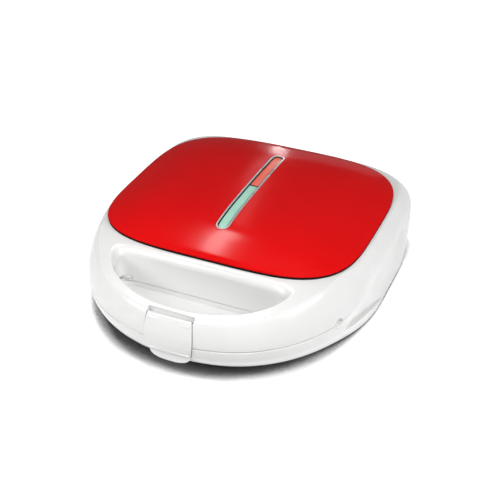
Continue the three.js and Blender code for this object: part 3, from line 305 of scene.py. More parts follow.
def made(name, points, faces):
    """A new mesh object from points in millimetres."""
    mesh = bpy.data.meshes.new(name)
    mesh.from_pydata((np.asarray(points, float) * METRE).tolist(), [], faces)
    piece = bpy.data.objects.new(name, mesh)
    bpy.context.scene.collection.objects.link(piece)
    return piece


def settled(piece):
    """The piece with its modifiers turned into plain mesh."""
    graph = bpy.context.evaluated_depsgraph_get()
    mesh = bpy.data.meshes.new_from_object(piece.evaluated_get(graph))
    piece.modifiers.clear()
    piece.data = mesh
    return piece


def combined(piece, others, operation):
    """Joins a piece with others, or cuts or crops it by them, and removes the others."""
    others = list(others)
    for other in others:
        modifier = piece.modifiers.new(operation.lower(), "BOOLEAN")
        modifier.operation = operation
        modifier.solver = "MANIFOLD"
        modifier.object = other
    settled(piece)
    for other in others:
        bpy.data.objects.remove(other)
    return piece


def joined(pieces):
    first, *rest = pieces
    return combined(first, rest, "UNION")


def cut_by(piece, cutters):
    return combined(piece, cutters, "DIFFERENCE")


def kept_in(piece, outline):
    return combined(piece, [outline], "INTERSECT")


def loft(start, rings, end):
    """Joins rings of equally many points into one closed skin, from the middle of the first to the last."""
    count = len(rings[0])
    points = np.vstack([[start], *rings, [end]])
    faces = []
    last = 1 + (len(rings) - 1) * count
    for i in range(count):
        ahead = (i + 1) % count
        faces.append((0, 1 + i, 1 + ahead))
        for k in range(len(rings) - 1):
            near = 1 + k * count
            far = near + count
            faces.append((near + i, far + i, far + ahead, near + ahead))
        faces.append((last + i, len(points) - 1, last + ahead))
    return made("loft", points, faces)


def hoop(rings):
    """Joins rings of equally many points into one closed band whose last ring meets its first."""
    count = len(rings[0])
    around = len(rings)
    faces = []
    for k in range(around):
        ahead = (k + 1) % around * count
        for i in range(count):
            near, far = k * count + i, k * count + (i + 1) % count
            faces.append((near, far, ahead + (i + 1) % count, ahead + i))
    return outward(made("hoop", np.vstack(rings), faces))


def ring(middle_y, reach, height, among=DIRECTIONS):
    """One ring round (0, middle_y): reach and height are numbers or functions of the direction."""
    distance = reach(among) if callable(reach) else np.full(len(among), float(reach))
    x = distance * np.cos(among)
    y = middle_y + distance * np.sin(among)
    z = height(x, y) if callable(height) else np.full(len(among), float(height))
    return np.column_stack([x, y, z])


def axis_point(y, z):
    return (0.0, y, float(z))


def slab(middle_y, reach, low, high, among=DIRECTIONS):
    """A flat solid of one outline between two heights."""
    rings = [ring(middle_y, reach, high, among), ring(middle_y, reach, low, among)]
    return loft(axis_point(middle_y, high), rings, axis_point(middle_y, low))


def prism(outline, place):
    """A closed outline drawn out: place(u, v, end) gives the point at the near end 0 and the far end 1."""
    count = len(outline)
    points = [place(u, v, end) for end in (0, 1) for u, v in outline]
    faces = [tuple(range(count))[::-1], tuple(range(count, 2 * count))]
    faces += [(i, (i + 1) % count, count + (i + 1) % count, count + i) for i in range(count)]
    return outward(made("prism", points, faces))


def outward(piece):
    """Turns every face of a closed mesh to look outwards."""
    mesh = piece.data
    corners = np.array([mesh.vertices[i].co for p in mesh.polygons for i in p.vertices[:3]])
    corners = corners.reshape(-1, 3, 3)
    normals = np.array([p.normal * p.area for p in mesh.polygons])
    if (corners[:, 0] * normals).sum() < 0:
        mesh.flip_normals()
    return piece


def across_prism(profile, x0, x1):
    return prism(profile, lambda y, z, end: ((x0, x1)[end], y, z))


def deep_prism(outline, y0, y1):
    return prism(outline, lambda x, z, end: (x, (y0, y1)[end], z))


def up_prism(outline, z0, z1):
    return prism(outline, lambda x, y, end: (x, y, (z0, z1)[end]))


def box(x0, x1, y0, y1, z0, z1):
    return up_prism([(x0, y0), (x1, y0), (x1, y1), (x0, y1)], z0, z1)


def circle(radius, u, v):
    turns = np.arange(ROUND_SEGMENTS) / ROUND_SEGMENTS * TURN
    return [(u + radius * math.cos(t), v + radius * math.sin(t)) for t in turns]


def cylinder(radius, height, x, y, z):
    return up_prism(circle(radius, x, y), z, z + height)


def cylinder_across(radius, x0, x1, y, z):
    return across_prism(circle(radius, y, z), x0, x1)


def cylinder_deep(radius, y0, y1, x, z):
    return deep_prism(circle(radius, x, z), y0, y1)


def rounded_rectangle(half_x, half_y, middle_y, corner, segments=CORNER_SEGMENTS):
    points = []
    for quarter, (sx, sy) in enumerate(((1, 1), (-1, 1), (-1, -1), (1, -1))):
        for k in range(segments + 1):
            t = (quarter + k / segments) * QUARTER
            x = sx * (half_x - corner) + corner * math.cos(t)
            y = middle_y + sy * (half_y - corner) + corner * math.sin(t)
            points.append((x, y))
    return points


def edge_rings(corner, radius, turned):
    """Rings of a rounded edge: from the level face, moved in, to the wall, moved up (1) or down (-1)."""
    rings = []
    outward_way = corner[:, :2] - (0, BOWL_Y)
    outward_way /= np.linalg.norm(outward_way, axis=1)[:, None]
    for step in range(EDGE_STEPS + 1):
        turn = step / EDGE_STEPS * QUARTER
        moved = corner.copy()
        moved[:, :2] -= outward_way * radius * (1 - math.sin(turn))
        moved[:, 2] += turned * radius * (1 - math.cos(turn))
        rings.append(moved)
    return rings


# Outlines in plan

def superellipse(x, y, power):
    return (np.abs(x) ** power + np.abs(y) ** power) ** (1 / power)


def smooth_step(start, end, value):
    share = np.clip((value - start) / (end - start), 0, 1)
    return share * share * (3 - 2 * share)


def reach_to(level, middle_y):
    """Distance from (0, middle_y) to where a level function passes 1."""
    def reach(among):
        low = np.zeros(len(among))
        high = np.full(len(among), float(BODY_WIDTH + REAR_REACH))
        for _ in range(SEARCH_STEPS):
            middle = (low + high) / 2
            inside = level(middle * np.cos(among), middle_y + middle * np.sin(among)) < 1
            low = np.where(inside, middle, low)
            high = np.where(inside, high, middle)
        return low
    return reach


def two_ended(x, y, middle_y, half_width, front, rear):
    """A level that is 1 on an outline with one (depth, power) in front of its middle and one behind it."""
    levels = [superellipse(x / half_width, (y - middle_y) / depth, power) for depth, power in (front, rear)]
    return np.where(y < middle_y, *levels)


def panel_level(x, y, growth=0.0):
    """Level of the red cover's outline, grown by an amount."""
    depth = PANEL_DEPTH / 2 + growth
    front, rear = (depth, PANEL_FRONT_POWER), (depth, PANEL_REAR_POWER)
    return two_ended(x, y, PANEL_Y, PANEL_WIDTH / 2 + growth, front, rear)


def shoulder_level(x, y):
    """Level of the top edge of the lid's wall at the sides and the rear."""
    front = (PANEL_DEPTH / 2 + SHOULDER_WIDTH, PANEL_FRONT_POWER)
    rear = (PANEL_DEPTH / 2 + SHOULDER_REAR_GROWTH, SHOULDER_REAR_POWER)
    return two_ended(x, y, PANEL_Y, PANEL_WIDTH / 2 + SHOULDER_WIDTH, front, rear)


def handle_rim_level(x, y, inset=0.0):
    """Level of the apron's edge round the handle, drawn in by an inset."""
    return superellipse(x / (RIM_HALF_WIDTH - inset), (y - BOWL_Y) / (RIM_REACH - inset), SEAM_FRONT_POWER)


def seam_level(x, y):
    """Level of the body's outline at the parting line."""
    front, rear = (HANDLE_REACH, SEAM_FRONT_POWER), (REAR_REACH, SEAM_REAR_POWER)
    return two_ended(x, y, BOWL_Y, BODY_WIDTH / 2, front, rear)


def underside_level(x, y):
    """Level of the base's outline at its underside."""
    front = (UNDERSIDE_FRONT_DEPTH, UNDERSIDE_FRONT_POWER)
    rear = (UNDERSIDE_REAR_DEPTH, UNDERSIDE_REAR_POWER)
    return two_ended(x, y, UNDERSIDE_Y, UNDERSIDE_HALF_WIDTH, front, rear)


def well_level(x, y, flare, growth=0.0):
    """Level of the finger well's outline: an arc along the handle, straight at the rear and the ends."""
    arc = handle_rim_level(x, y, HANDLE_TOP_WIDTH - growth)
    rear_room = WELL_MIDDLE_REACH - WELL_REAR_REACH + WELL_REAR_FLARE * flare + growth
    rear = np.maximum(0, (y - WELL_Y) / rear_room)
    side = np.abs(x) / (WELL_HALF_WIDTH + WELL_END_FLARE * flare + growth)
    power = WELL_CORNER_POWER
    return (arc ** (power * 3) + rear ** power + side ** power) ** (1 / power)


def outer_of(a, b):
    """The larger of two reaches, blended where they cross."""
    return lambda t: (a(t) ** OUTLINE_BLEND + b(t) ** OUTLINE_BLEND) ** (1 / OUTLINE_BLEND)


def inner_of(a, b):
    """The smaller of two reaches, blended where they cross."""
    return lambda t: (a(t) ** -OUTLINE_BLEND + b(t) ** -OUTLINE_BLEND) ** (-1 / OUTLINE_BLEND)


def less(reach, amount):
    return lambda t: reach(t) - amount


def grown(reach, amount):
    return less(reach, -amount)


def share_of(reach, share):
    return lambda t: reach(t) * share


def flank_share(y):
    """How far the recess in the flanks has set in at a place along the body, from 0 to 1."""
    forward = BOWL_Y - FLANK_FRONT_REACH
    back = BOWL_Y + FLANK_REAR_REACH
    return smooth_step(forward, forward + FLANK_FADE, y) * (1 - smooth_step(back - FLANK_FADE, back, y))


def seam_place_y(among):
    return BOWL_Y + seam_reach(among) * np.sin(among)


def bowl_front_reach(among):
    """Reach to the straight wall between the bowl and the finger well."""
    towards_handle = np.maximum(-np.sin(among), LEAST_SLOPE)
    return np.minimum((WELL_REAR_REACH - WELL_WALL) / towards_handle, BODY_WIDTH + REAR_REACH)


seam_reach = reach_to(seam_level, BOWL_Y)
underside_reach = reach_to(underside_level, BOWL_Y)
step_reach = reach_to(lambda x, y: handle_rim_level(x, y, -STEP_WIDTH), BOWL_Y)
wall_top_reach = outer_of(step_reach, reach_to(shoulder_level, BOWL_Y))
apron_reach = less(wall_top_reach, STEP_WIDTH)
panel_reach = reach_to(panel_level, BOWL_Y)
deck_reach = reach_to(lambda x, y: panel_level(x, y, -DECK_DROP), BOWL_Y)
bowl_reach = inner_of(less(seam_reach, FLANK_RECESS + RIM_WALL), bowl_front_reach)
opening_reach = less(bowl_reach, LEDGE_WIDTH)


def crown_height(x, y):
    return PANEL_CROWN * (1 - np.minimum(1, panel_level(x, y)) ** CROWN_POWER)


def deck_height(x, y):
    return PANEL_Z + crown_height(x, y) - DECK_DROP


def apron_height(x, y):
    past = (PANEL_Y - APRON_FOLD - y) / APRON_FOLD_SOFTNESS
    fall = APRON_FOLD_SOFTNESS * np.log1p(np.exp(past))
    return PANEL_Z - APRON_SINK - fall * math.tan(math.radians(APRON_SLOPE))


def wall_top_height(x, y):
    return apron_height(x, y) - STEP_DROP


def lid_wall_ring(share, inset=0.0, floor=SEAM_Z, among=DIRECTIONS):
    """A ring of the lid's bulged wall, with share 0 at its top and 1 at its floor."""
    top = wall_top_reach(among)
    reach = top + (seam_reach(among) - top) * (1 - (1 - share) ** WALL_BULGE_POWER)
    top_z = wall_top_height(top * np.cos(among), BOWL_Y + top * np.sin(among))
    x = (reach - inset) * np.cos(among)
    y = BOWL_Y + (reach - inset) * np.sin(among)
    return np.column_stack([x, y, top_z + (floor - top_z) * share])


def lip_share(y):
    """How far down the base's wall its lip lies: high at the handle, low towards the rear."""
    along = np.clip((y - BOWL_Y + LIP_SWEEP_START) / LIP_SWEEP_LENGTH, 0, 1)
    return LIP_FIRST_SHARE + (LIP_LAST_SHARE - LIP_FIRST_SHARE) * along


def base_wall_ring(share, inset=0.0, top=BASE_TOP, floor=FOOT_HEIGHT, among=DIRECTIONS):
    """Shares up to 1 lie above the lip, shares from 1 to 2 below it."""
    place_y = seam_place_y(among)
    lip = lip_share(place_y)
    depth = np.minimum(1, share * lip if share <= 1 else lip + (share - 1) * (1 - lip))
    under = underside_reach(among)
    set_back = 1.0 if share <= 1 else smooth_step(LIP_MERGE_SHARE, LIP_LAST_SHARE, lip)
    rim = seam_reach(among) - FLANK_RECESS * flank_share(place_y) * set_back
    reach = under + (rim - under) * (1 - depth ** FLANK_POWER) ** (1 / FLANK_POWER) - inset
    x = reach * np.cos(among)
    y = BOWL_Y + reach * np.sin(among)
    return np.column_stack([x, y, top + (floor - top) * depth])


# Solids that several pieces are made from

DECK_SHARES = np.linspace(0.2, 1, 6)
APRON_STEPS = 22
LID_WALL_SHARES = np.linspace(0, 1, 22)
BASE_UPPER_SHARES = np.linspace(0, 1, 16)
BASE_LOWER_SHARES = 1 + np.sin(np.linspace(0.02, 1, 20) * QUARTER)
WELL_FILLET_STEPS = 12
CROWN_STATIONS = 30
COVER_SHARES = np.linspace(0.03, 1, 44)
HIDDEN_COVER_SHARES = COVER_SHARES[::-4]
HIDDEN_LID_WALL_SHARES = LID_WALL_SHARES[4::3]
HIDDEN_BASE_WALL_SHARES = (*BASE_UPPER_SHARES[::3], *BASE_LOWER_SHARES[::3], 2)


def between(first, last, share):
    """A reach that lies a share of the way from one reach to another."""
    return lambda t: first(t) + (last(t) - first(t)) * share


def lid_filled():
    apron_edge = ring(BOWL_Y, apron_reach, apron_height)
    apron_start = less(apron_reach, STEP_EDGE)
    wall_top = lid_wall_ring(0, floor=LID_FLOOR)
    wall_foot = lid_wall_ring(1, floor=LID_FLOOR)
    step_ledge = ring(BOWL_Y, apron_reach, wall_top_height)
    rings = [
        *[ring(BOWL_Y, share_of(deck_reach, share), deck_height) for share in DECK_SHARES],
        *[ring(BOWL_Y, between(deck_reach, apron_start, k / APRON_STEPS), apron_height)
          for k in range(APRON_STEPS)],
        *edge_rings(apron_edge, STEP_EDGE, -1),
        step_ledge,
        *edge_rings(wall_top, STEP_EDGE, -1),
        *[lid_wall_ring(share, floor=LID_FLOOR) for share in LID_WALL_SHARES[1:-1]],
        *edge_rings(wall_foot, SEAM_EDGE, 1)[::-1],
    ]
    return loft(axis_point(BOWL_Y, deck_height(0.0, BOWL_Y)), rings, axis_point(BOWL_Y, LID_FLOOR))


def lid_inside(depth, floor):
    """The room inside the lid's skin at a depth from it, down to a floor."""
    among = HIDDEN_DIRECTIONS
    deck_inner = less(deck_reach, depth)
    under_deck = lambda x, y: deck_height(x, y) - depth
    under_apron = lambda x, y: apron_height(x, y) - depth
    rings = [
        *[ring(BOWL_Y, share_of(deck_inner, share), under_deck, among) for share in DECK_SHARES],
        ring(BOWL_Y, deck_inner, under_apron, among),
        ring(BOWL_Y, less(apron_reach, depth), under_apron, among),
        *[lid_wall_ring(share, depth, floor, among) for share in HIDDEN_LID_WALL_SHARES],
    ]
    return loft(axis_point(BOWL_Y, under_deck(0.0, BOWL_Y)), rings, axis_point(BOWL_Y, floor))


def base_filled():
    rings = [
        *edge_rings(base_wall_ring(0), SEAM_EDGE, -1),
        *[base_wall_ring(share) for share in BASE_UPPER_SHARES[1:]],
        *[base_wall_ring(share) for share in BASE_LOWER_SHARES],
    ]
    return loft(axis_point(BOWL_Y, BASE_TOP), rings, axis_point(BOWL_Y, FOOT_HEIGHT))


def base_inside(depth, top, floor):
    """The room inside the base's skin at a depth from it, between two heights."""
    among = HIDDEN_DIRECTIONS
    rings = [base_wall_ring(share, depth, top, floor, among) for share in HIDDEN_BASE_WALL_SHARES]
    return loft(axis_point(BOWL_Y, top), rings, axis_point(BOWL_Y, floor))


def body_skin(growth):
    """The outer skin of both shells, grown outwards by an amount, for the latch that lies on it."""
    rings = [
        ring(BOWL_Y, grown(wall_top_reach, growth), ABOVE_ALL),
        *[lid_wall_ring(share, -growth) for share in LID_WALL_SHARES],
        *[base_wall_ring(share, -growth) for share in [*BASE_UPPER_SHARES, *BASE_LOWER_SHARES]],
    ]
    return loft(axis_point(BOWL_Y, ABOVE_ALL), rings, axis_point(BOWL_Y, FOOT_HEIGHT))


def well_outline(flare, growth):
    return reach_to(lambda x, y: well_level(x, y, flare, growth), WELL_Y)


def well_solid(growth, low, among=DIRECTIONS):
    """The finger well down to a height, grown by an amount, with its rounded upper edge."""
    rings = [ring(WELL_Y, well_outline(1.0, growth), ABOVE_ALL, among)]
    for step in range(WELL_FILLET_STEPS + 1):
        turn = step / WELL_FILLET_STEPS * QUARTER
        drop = WELL_FILLET_DEPTH * (1 - math.cos(turn))
        outline = well_outline(1 - math.sin(turn), growth)
        rings.append(ring(WELL_Y, outline, lambda x, y: apron_height(x, y) - drop, among))
    rings.append(ring(WELL_Y, well_outline(0.0, growth), low, among))
    return loft(axis_point(WELL_Y, ABOVE_ALL), rings, axis_point(WELL_Y, low))


def rim_block(low, high):
    return slab(BOWL_Y, grown(bowl_reach, RIM_WALL), low, high, HIDDEN_DIRECTIONS)


def crown_strip(half_width, top, bottom):
    """A strip that follows the crown along the middle of the panel, between two depths under it."""
    length = WINDOW_LENGTH + OVERRUN
    places = WINDOW_Y + (np.arange(CROWN_STATIONS + 1) / CROWN_STATIONS - 0.5) * length
    heights = PANEL_Z + crown_height(0.0, places)
    upper = [(y, z - top) for y, z in zip(places, heights)]
    lower = [(y, z - bottom) for y, z in zip(places, heights)]
    return across_prism(upper + lower[::-1], -half_width, half_width)


def window_outline(growth):
    half = WINDOW_WIDTH / 2 + growth
    half_length = WINDOW_LENGTH / 2 + growth
    return rounded_rectangle(half, half_length, WINDOW_Y, half * ROUND_END_SHARE, 2 * CORNER_SEGMENTS)


def bowed(start, control, end, steps):
    """Points along a curve that leaves start and meets end with one control point."""
    points = []
    for k in range(steps + 1):
        t = k / steps
        near, middle, far = (1 - t) ** 2, 2 * t * (1 - t), t ** 2
        points.append(tuple(near * a + middle * b + far * c for a, b, c in zip(start, control, end)))
    return points


def clip_outline(growth):
    top = SEAM_Z + CLIP_TOP_HEIGHT + growth
    foot = SEAM_Z - CLIP_FOOT_DEPTH - growth
    middle = (top + foot) / 2
    waist = CLIP_WIDTH / 2 - CLIP_BOW + growth
    bulge = CLIP_WIDTH / 2 + CLIP_BOW + growth
    right = bowed((waist, foot), (bulge, middle), (waist, top), 2 * CORNER_SEGMENTS)
    left = bowed((-waist, top), (-bulge, middle), (-waist, foot), 2 * CORNER_SEGMENTS)
    return right + left


def front_place(reach):
    """The place along Y at a reach towards the handle."""
    return BOWL_Y - reach


def clip_prism(growth):
    outline = clip_outline(growth)
    return deep_prism(outline, front_place(PAST_HANDLE), front_place(LATCH_CHANNEL_REACH))


def front_box(half_width, outer, inner, low, high):
    return box(-half_width, half_width, front_place(outer), front_place(inner), low, high)


def hinge_ear(x0, x1, side):
    """A knuckle with the web that carries it, on the lid (side 1) or on the base (side -1)."""
    wall_y = HINGE_Y - HINGE_SET_BACK - SHELL_WALL
    web = [
        (wall_y, SEAM_Z + side * RIM_GAP),
        (HINGE_Y, SEAM_Z + side * RIM_GAP),
        (HINGE_Y, SEAM_Z + side * KNUCKLE_RADIUS),
        (wall_y, SEAM_Z + side * HINGE_WEB),
    ]
    return joined([cylinder_across(KNUCKLE_RADIUS, x0, x1, HINGE_Y, SEAM_Z), across_prism(web, x0, x1)])


def hinge_holes():
    half = KNUCKLE_LENGTH / 2 + EAR_THICKNESS + 2 * FIT
    middles = [side * HINGE_SPACING / 2 for side in SIDES]
    return [cylinder_across(HINGE_PIN_RADIUS + FIT, x - half, x + half, HINGE_Y, SEAM_Z) for x in middles]


def screw_spots():
    front = BOWL_Y - WELL_REAR_REACH + WELL_WALL + SCREW_FRONT_INSET
    rear = BOWL_Y + REAR_REACH - SCREW_REAR_INSET
    return [(side * SCREW_SPACING_X / 2, y) for y in (front, rear) for side in SIDES]


def screw_bosses(near_depth, far_height):
    near = SEAM_Z + near_depth
    low = min(near, far_height)
    return [cylinder(BOSS_RADIUS, abs(far_height - near), x, y, low) for x, y in screw_spots()]


def screw_holes(side):
    length = SCREW_SHANK_LENGTH + LEDGE_DEPTH + FIT
    low = SEAM_Z if side > 0 else SEAM_Z - length
    return [cylinder(SCREW_SHANK_RADIUS + FIT, length, x, y, low) for x, y in screw_spots()]


def nub_window(side, outer, inner):
    """The slot in the wall behind the finger well that a release's nub slides along."""
    near = SLIDE_OFFSET - NUB_WIDTH / 2 - 2 * FIT
    far = SLIDE_OFFSET + SLIDE_TRAVEL + NUB_WIDTH / 2 + 2 * FIT
    x0, x1 = (near, far) if side > 0 else (-far, -near)
    heights = sorted((SEAM_Z - side * NUB_TOP_DEPTH, SEAM_Z - side * FRAME_BOTTOM_DEPTH))
    return box(x0, x1, BOWL_Y - outer, BOWL_Y - inner, *heights)


def vent_notches():
    """The small round recess at the parting line on each side."""
    y = BOWL_Y - VENT_SET_FORWARD
    across = (1 - (VENT_SET_FORWARD / HANDLE_REACH) ** SEAM_FRONT_POWER) ** (1 / SEAM_FRONT_POWER)
    edge = BODY_WIDTH / 2 * across - VENT_DEPTH
    return [
        cylinder_across(VENT_DIAMETER / 2, *sorted((side * edge, side * (edge + OVERRUN))), y, SEAM_Z)
        for side in SIDES
    ]


def foot_spots():
    places_y = [UNDERSIDE_Y + end * FOOT_SPACING_Y / 2 for end in SIDES]
    return [(side * FOOT_SPACING_X / 2, y) for y in places_y for side in SIDES]


def gland_hole(growth, y0, y1):
    return cylinder_deep(GLAND_RADIUS + growth, y0, y1, GLAND_OFFSET, GLAND_HEIGHT)


# Pieces of the lid

def lid_shell():
    filled = lid_filled()
    rim_top = SEAM_Z + LEDGE_DEPTH + LEDGE_THICKNESS
    block_half = CLIP_WIDTH / 2 + CLIP_SIDE_GAP + LATCH_BLOCK_MARGIN
    inner_blocks = joined([
        rim_block(LID_FLOOR, rim_top),
        well_solid(WELL_WALL, LID_FLOOR),
        front_box(block_half, PAST_HANDLE, LATCH_POCKET_REACH - WELL_WALL, LID_FLOOR, PANEL_Z),
        *screw_bosses(LEDGE_DEPTH, ABOVE_ALL),
    ])
    inner_blocks = kept_in(inner_blocks, lid_inside(SHELL_WALL / 2, LID_FLOOR))
    cavity = lid_inside(SHELL_WALL, LID_FLOOR + SHELL_WALL)
    shell = joined([cut_by(filled, [cavity]), inner_blocks])
    shell = cut_by(shell, [
        slab(BOWL_Y, bowl_reach, SEAM_Z - OVERRUN, SEAM_Z + LEDGE_DEPTH),
        slab(BOWL_Y, opening_reach, SEAM_Z, rim_top + FIT),
        well_solid(0, SEAM_Z - OVERRUN),
    ])
    middles = [side * HINGE_SPACING / 2 for side in SIDES]
    knuckles = [hinge_ear(x - KNUCKLE_LENGTH / 2, x + KNUCKLE_LENGTH / 2, 1) for x in middles]
    shell = joined([shell, *knuckles])
    clip_room = cut_by(clip_prism(CLIP_SIDE_GAP), [body_skin(CLIP_PROUD - CLIP_THICKNESS - FIT)])
    return cut_by(shell, [
        clip_room,
        front_box(CLIP_WIDTH / 2 - CLIP_SIDE_GAP, PAST_HANDLE, LATCH_POCKET_REACH,
                  LATCH_PIN_Z - LATCH_BARREL_RADIUS - FIT, ABOVE_ALL),
        cylinder_across(LATCH_PIN_RADIUS + FIT, -LATCH_PIN_HALF - FIT, LATCH_PIN_HALF + FIT,
                        LATCH_PIN_Y, LATCH_PIN_Z),
        nub_window(-1, WELL_REAR_REACH + OVERRUN, WELL_REAR_REACH - WELL_WALL - OVERRUN / 4),
        up_prism(window_outline(FIT), SEAM_Z + OVERRUN, ABOVE_ALL),
        *vent_notches(),
        *hinge_holes(),
        *screw_holes(1),
    ])


def red_cover():
    """The crowned sheet on the lid, with its rounded edge turned down."""
    inner = less(panel_reach, PANEL_SHEET)
    surface = lambda x, y: PANEL_Z + crown_height(x, y)
    underside = lambda x, y: surface(x, y) - PANEL_SHEET
    # The skirt stops on the black strip, which shows as a painted-shade line under the edge
    skirt_foot = lambda x, y: apron_height(x, y) + COVER_SEAL_AND_SHADE_HEIGHT
    edge_start = less(panel_reach, PANEL_EDGE)
    brow = ring(BOWL_Y, panel_reach, surface)
    rings = [
        *[ring(BOWL_Y, share_of(edge_start, share), surface) for share in COVER_SHARES[:-1]],
        *edge_rings(brow, PANEL_EDGE, -1),
        ring(BOWL_Y, panel_reach, skirt_foot),
        ring(BOWL_Y, inner, skirt_foot),
        *[ring(BOWL_Y, share_of(inner, share), underside) for share in HIDDEN_COVER_SHARES],
    ]
    top, bottom = surface(0.0, BOWL_Y), underside(0.0, BOWL_Y)
    whole = loft(axis_point(BOWL_Y, top), rings, axis_point(BOWL_Y, bottom))
    return cut_by(whole, [up_prism(window_outline(0), SEAM_Z, ABOVE_ALL)])


def cover_seal_and_shade():
    """The black strip that the cover's turned-down edge sits on: a seal, and painted shade for the shadow
    gap under the edge.
    """
    outer = less(panel_reach, COVER_SEAL_AND_SHADE_SET_IN)
    inner = less(outer, COVER_SEAL_AND_SHADE_WIDTH)
    foot = lambda x, y: apron_height(x, y) + SEAT_GAP
    head = lambda x, y: apron_height(x, y) + COVER_SEAL_AND_SHADE_HEIGHT - SEAT_GAP
    return hoop([ring(BOWL_Y, outer, foot), ring(BOWL_Y, outer, head),
                 ring(BOWL_Y, inner, head), ring(BOWL_Y, inner, foot)])


# Lamp window, from its clear rim inwards and downwards

BEZEL_OUTER = -FIT
BEZEL_INNER = BEZEL_OUTER - WINDOW_RIM
LENS_SEAL_OUTER = BEZEL_INNER - SEAT_GAP
LENS_OUTER = LENS_SEAL_OUTER - LENS_SEAL_WIDTH
LENS_FOOT_DEPTH = WINDOW_SINK + LENS_THICKNESS
BEZEL_FOOT_DEPTH = LENS_FOOT_DEPTH + WINDOW_RIM


def window_piece(growth, top, bottom):
    """The lamp window's outline, grown by an amount, between two depths under the crown."""
    solid = up_prism(window_outline(growth), SEAM_Z, ABOVE_ALL)
    return kept_in(solid, crown_strip(WINDOW_WIDTH, top, bottom))


def window_frame():
    inside = window_piece(BEZEL_INNER, -OVERRUN, OVERRUN)
    return cut_by(window_piece(BEZEL_OUTER, -WINDOW_LIP, BEZEL_FOOT_DEPTH), [inside])


def window_half(piece, front, spare):
    """The part of a window piece in front of the split between the lenses, or behind it."""
    front_end = WINDOW_Y - WINDOW_LENGTH / 2
    split = front_end + WINDOW_LENGTH * READY_LENS_SHARE
    near = front_end - OVERRUN if front else split + spare
    far = split - spare if front else front_end + WINDOW_LENGTH + OVERRUN
    return kept_in(piece, box(-WINDOW_WIDTH, WINDOW_WIDTH, near, far, SEAM_Z, ABOVE_ALL))


def lens(front):
    piece = window_piece(LENS_OUTER, WINDOW_SINK - LENS_CROWN, LENS_FOOT_DEPTH)
    return window_half(piece, front, LENS_SEAL_WIDTH / 2)


def lens_seal():
    """The dark seal round both lenses and between them."""
    whole = window_piece(LENS_SEAL_OUTER, WINDOW_SINK - LENS_SEAL_RISE, LENS_FOOT_DEPTH)
    room = LENS_SEAL_WIDTH / 2 - SEAT_GAP
    holes = [window_half(window_piece(LENS_OUTER + SEAT_GAP, -OVERRUN, OVERRUN), front, room)
             for front in (True, False)]
    return cut_by(whole, holes)


# Latch that hangs from a pin in the handle and laps over the base

def handle_latch():
    skin = cut_by(body_skin(CLIP_PROUD), [body_skin(CLIP_PROUD - CLIP_THICKNESS)])
    plate = kept_in(clip_prism(0), skin)
    root_z = SEAM_Z - CLIP_FOOT_DEPTH + TONGUE_THICKNESS + FIT
    bend_z = SEAM_Z - CLIP_FOOT_DEPTH - TONGUE_THICKNESS / 2
    tip_z = SEAM_Z - TONGUE_DEPTH
    root_reach = HANDLE_REACH + CLIP_PROUD - CLIP_THICKNESS - FIT
    inner = [(root_reach, root_z), (TONGUE_BEND_REACH, bend_z), (TONGUE_TIP_REACH, tip_z)]
    outer = [(reach + TONGUE_THICKNESS, z) for reach, z in inner]
    profile = [(front_place(reach), z) for reach, z in outer + inner[::-1]]
    half = TONGUE_WIDTH / 2
    outline = [(-half, bend_z), (-half, SEAM_Z), (half, SEAM_Z), (half, bend_z)]
    outline += bowed((half, bend_z), (half, tip_z), (0, tip_z), CORNER_SEGMENTS)[1:]
    outline += bowed((0, tip_z), (-half, tip_z), (-half, bend_z), CORNER_SEGMENTS)[1:-1]
    tongue_room = deep_prism(outline, front_place(PAST_HANDLE), BOWL_Y)
    tongue = kept_in(across_prism(profile, -half, half), tongue_room)
    web_half = LATCH_BARREL_RADIUS * WEB_SHARE
    web = front_box(BARREL_HALF, HANDLE_REACH - CLIP_THICKNESS, LATCH_PIN_REACH,
                    LATCH_PIN_Z - web_half, LATCH_PIN_Z + web_half)
    tooth = front_box(CATCH_WIDTH / 2, root_reach + CLIP_THICKNESS / 2, CATCH_REACH + FIT,
                      root_z - CATCH_HEIGHT, root_z)
    barrel = cylinder_across(LATCH_BARREL_RADIUS, -BARREL_HALF, BARREL_HALF, LATCH_PIN_Y, LATCH_PIN_Z)
    bore = cylinder_across(LATCH_PIN_RADIUS + FIT, -CLIP_WIDTH, CLIP_WIDTH, LATCH_PIN_Y, LATCH_PIN_Z)
    return moulded(cut_by(joined([plate, tongue, web, tooth, barrel]), [bore]))


def moulded(piece):
    """Rounds every edge a little, as a moulded part has them."""
    remesh = piece.modifiers.new("remesh", "REMESH")
    remesh.mode = "VOXEL"
    remesh.voxel_size = CLIP_VOXEL * METRE
    smoothing = piece.modifiers.new("smoothing", "SMOOTH")
    smoothing.iterations = CLIP_SMOOTHING
    smoothing.factor = CLIP_SMOOTHING_SHARE
    return settled(piece)


# Pieces of the base

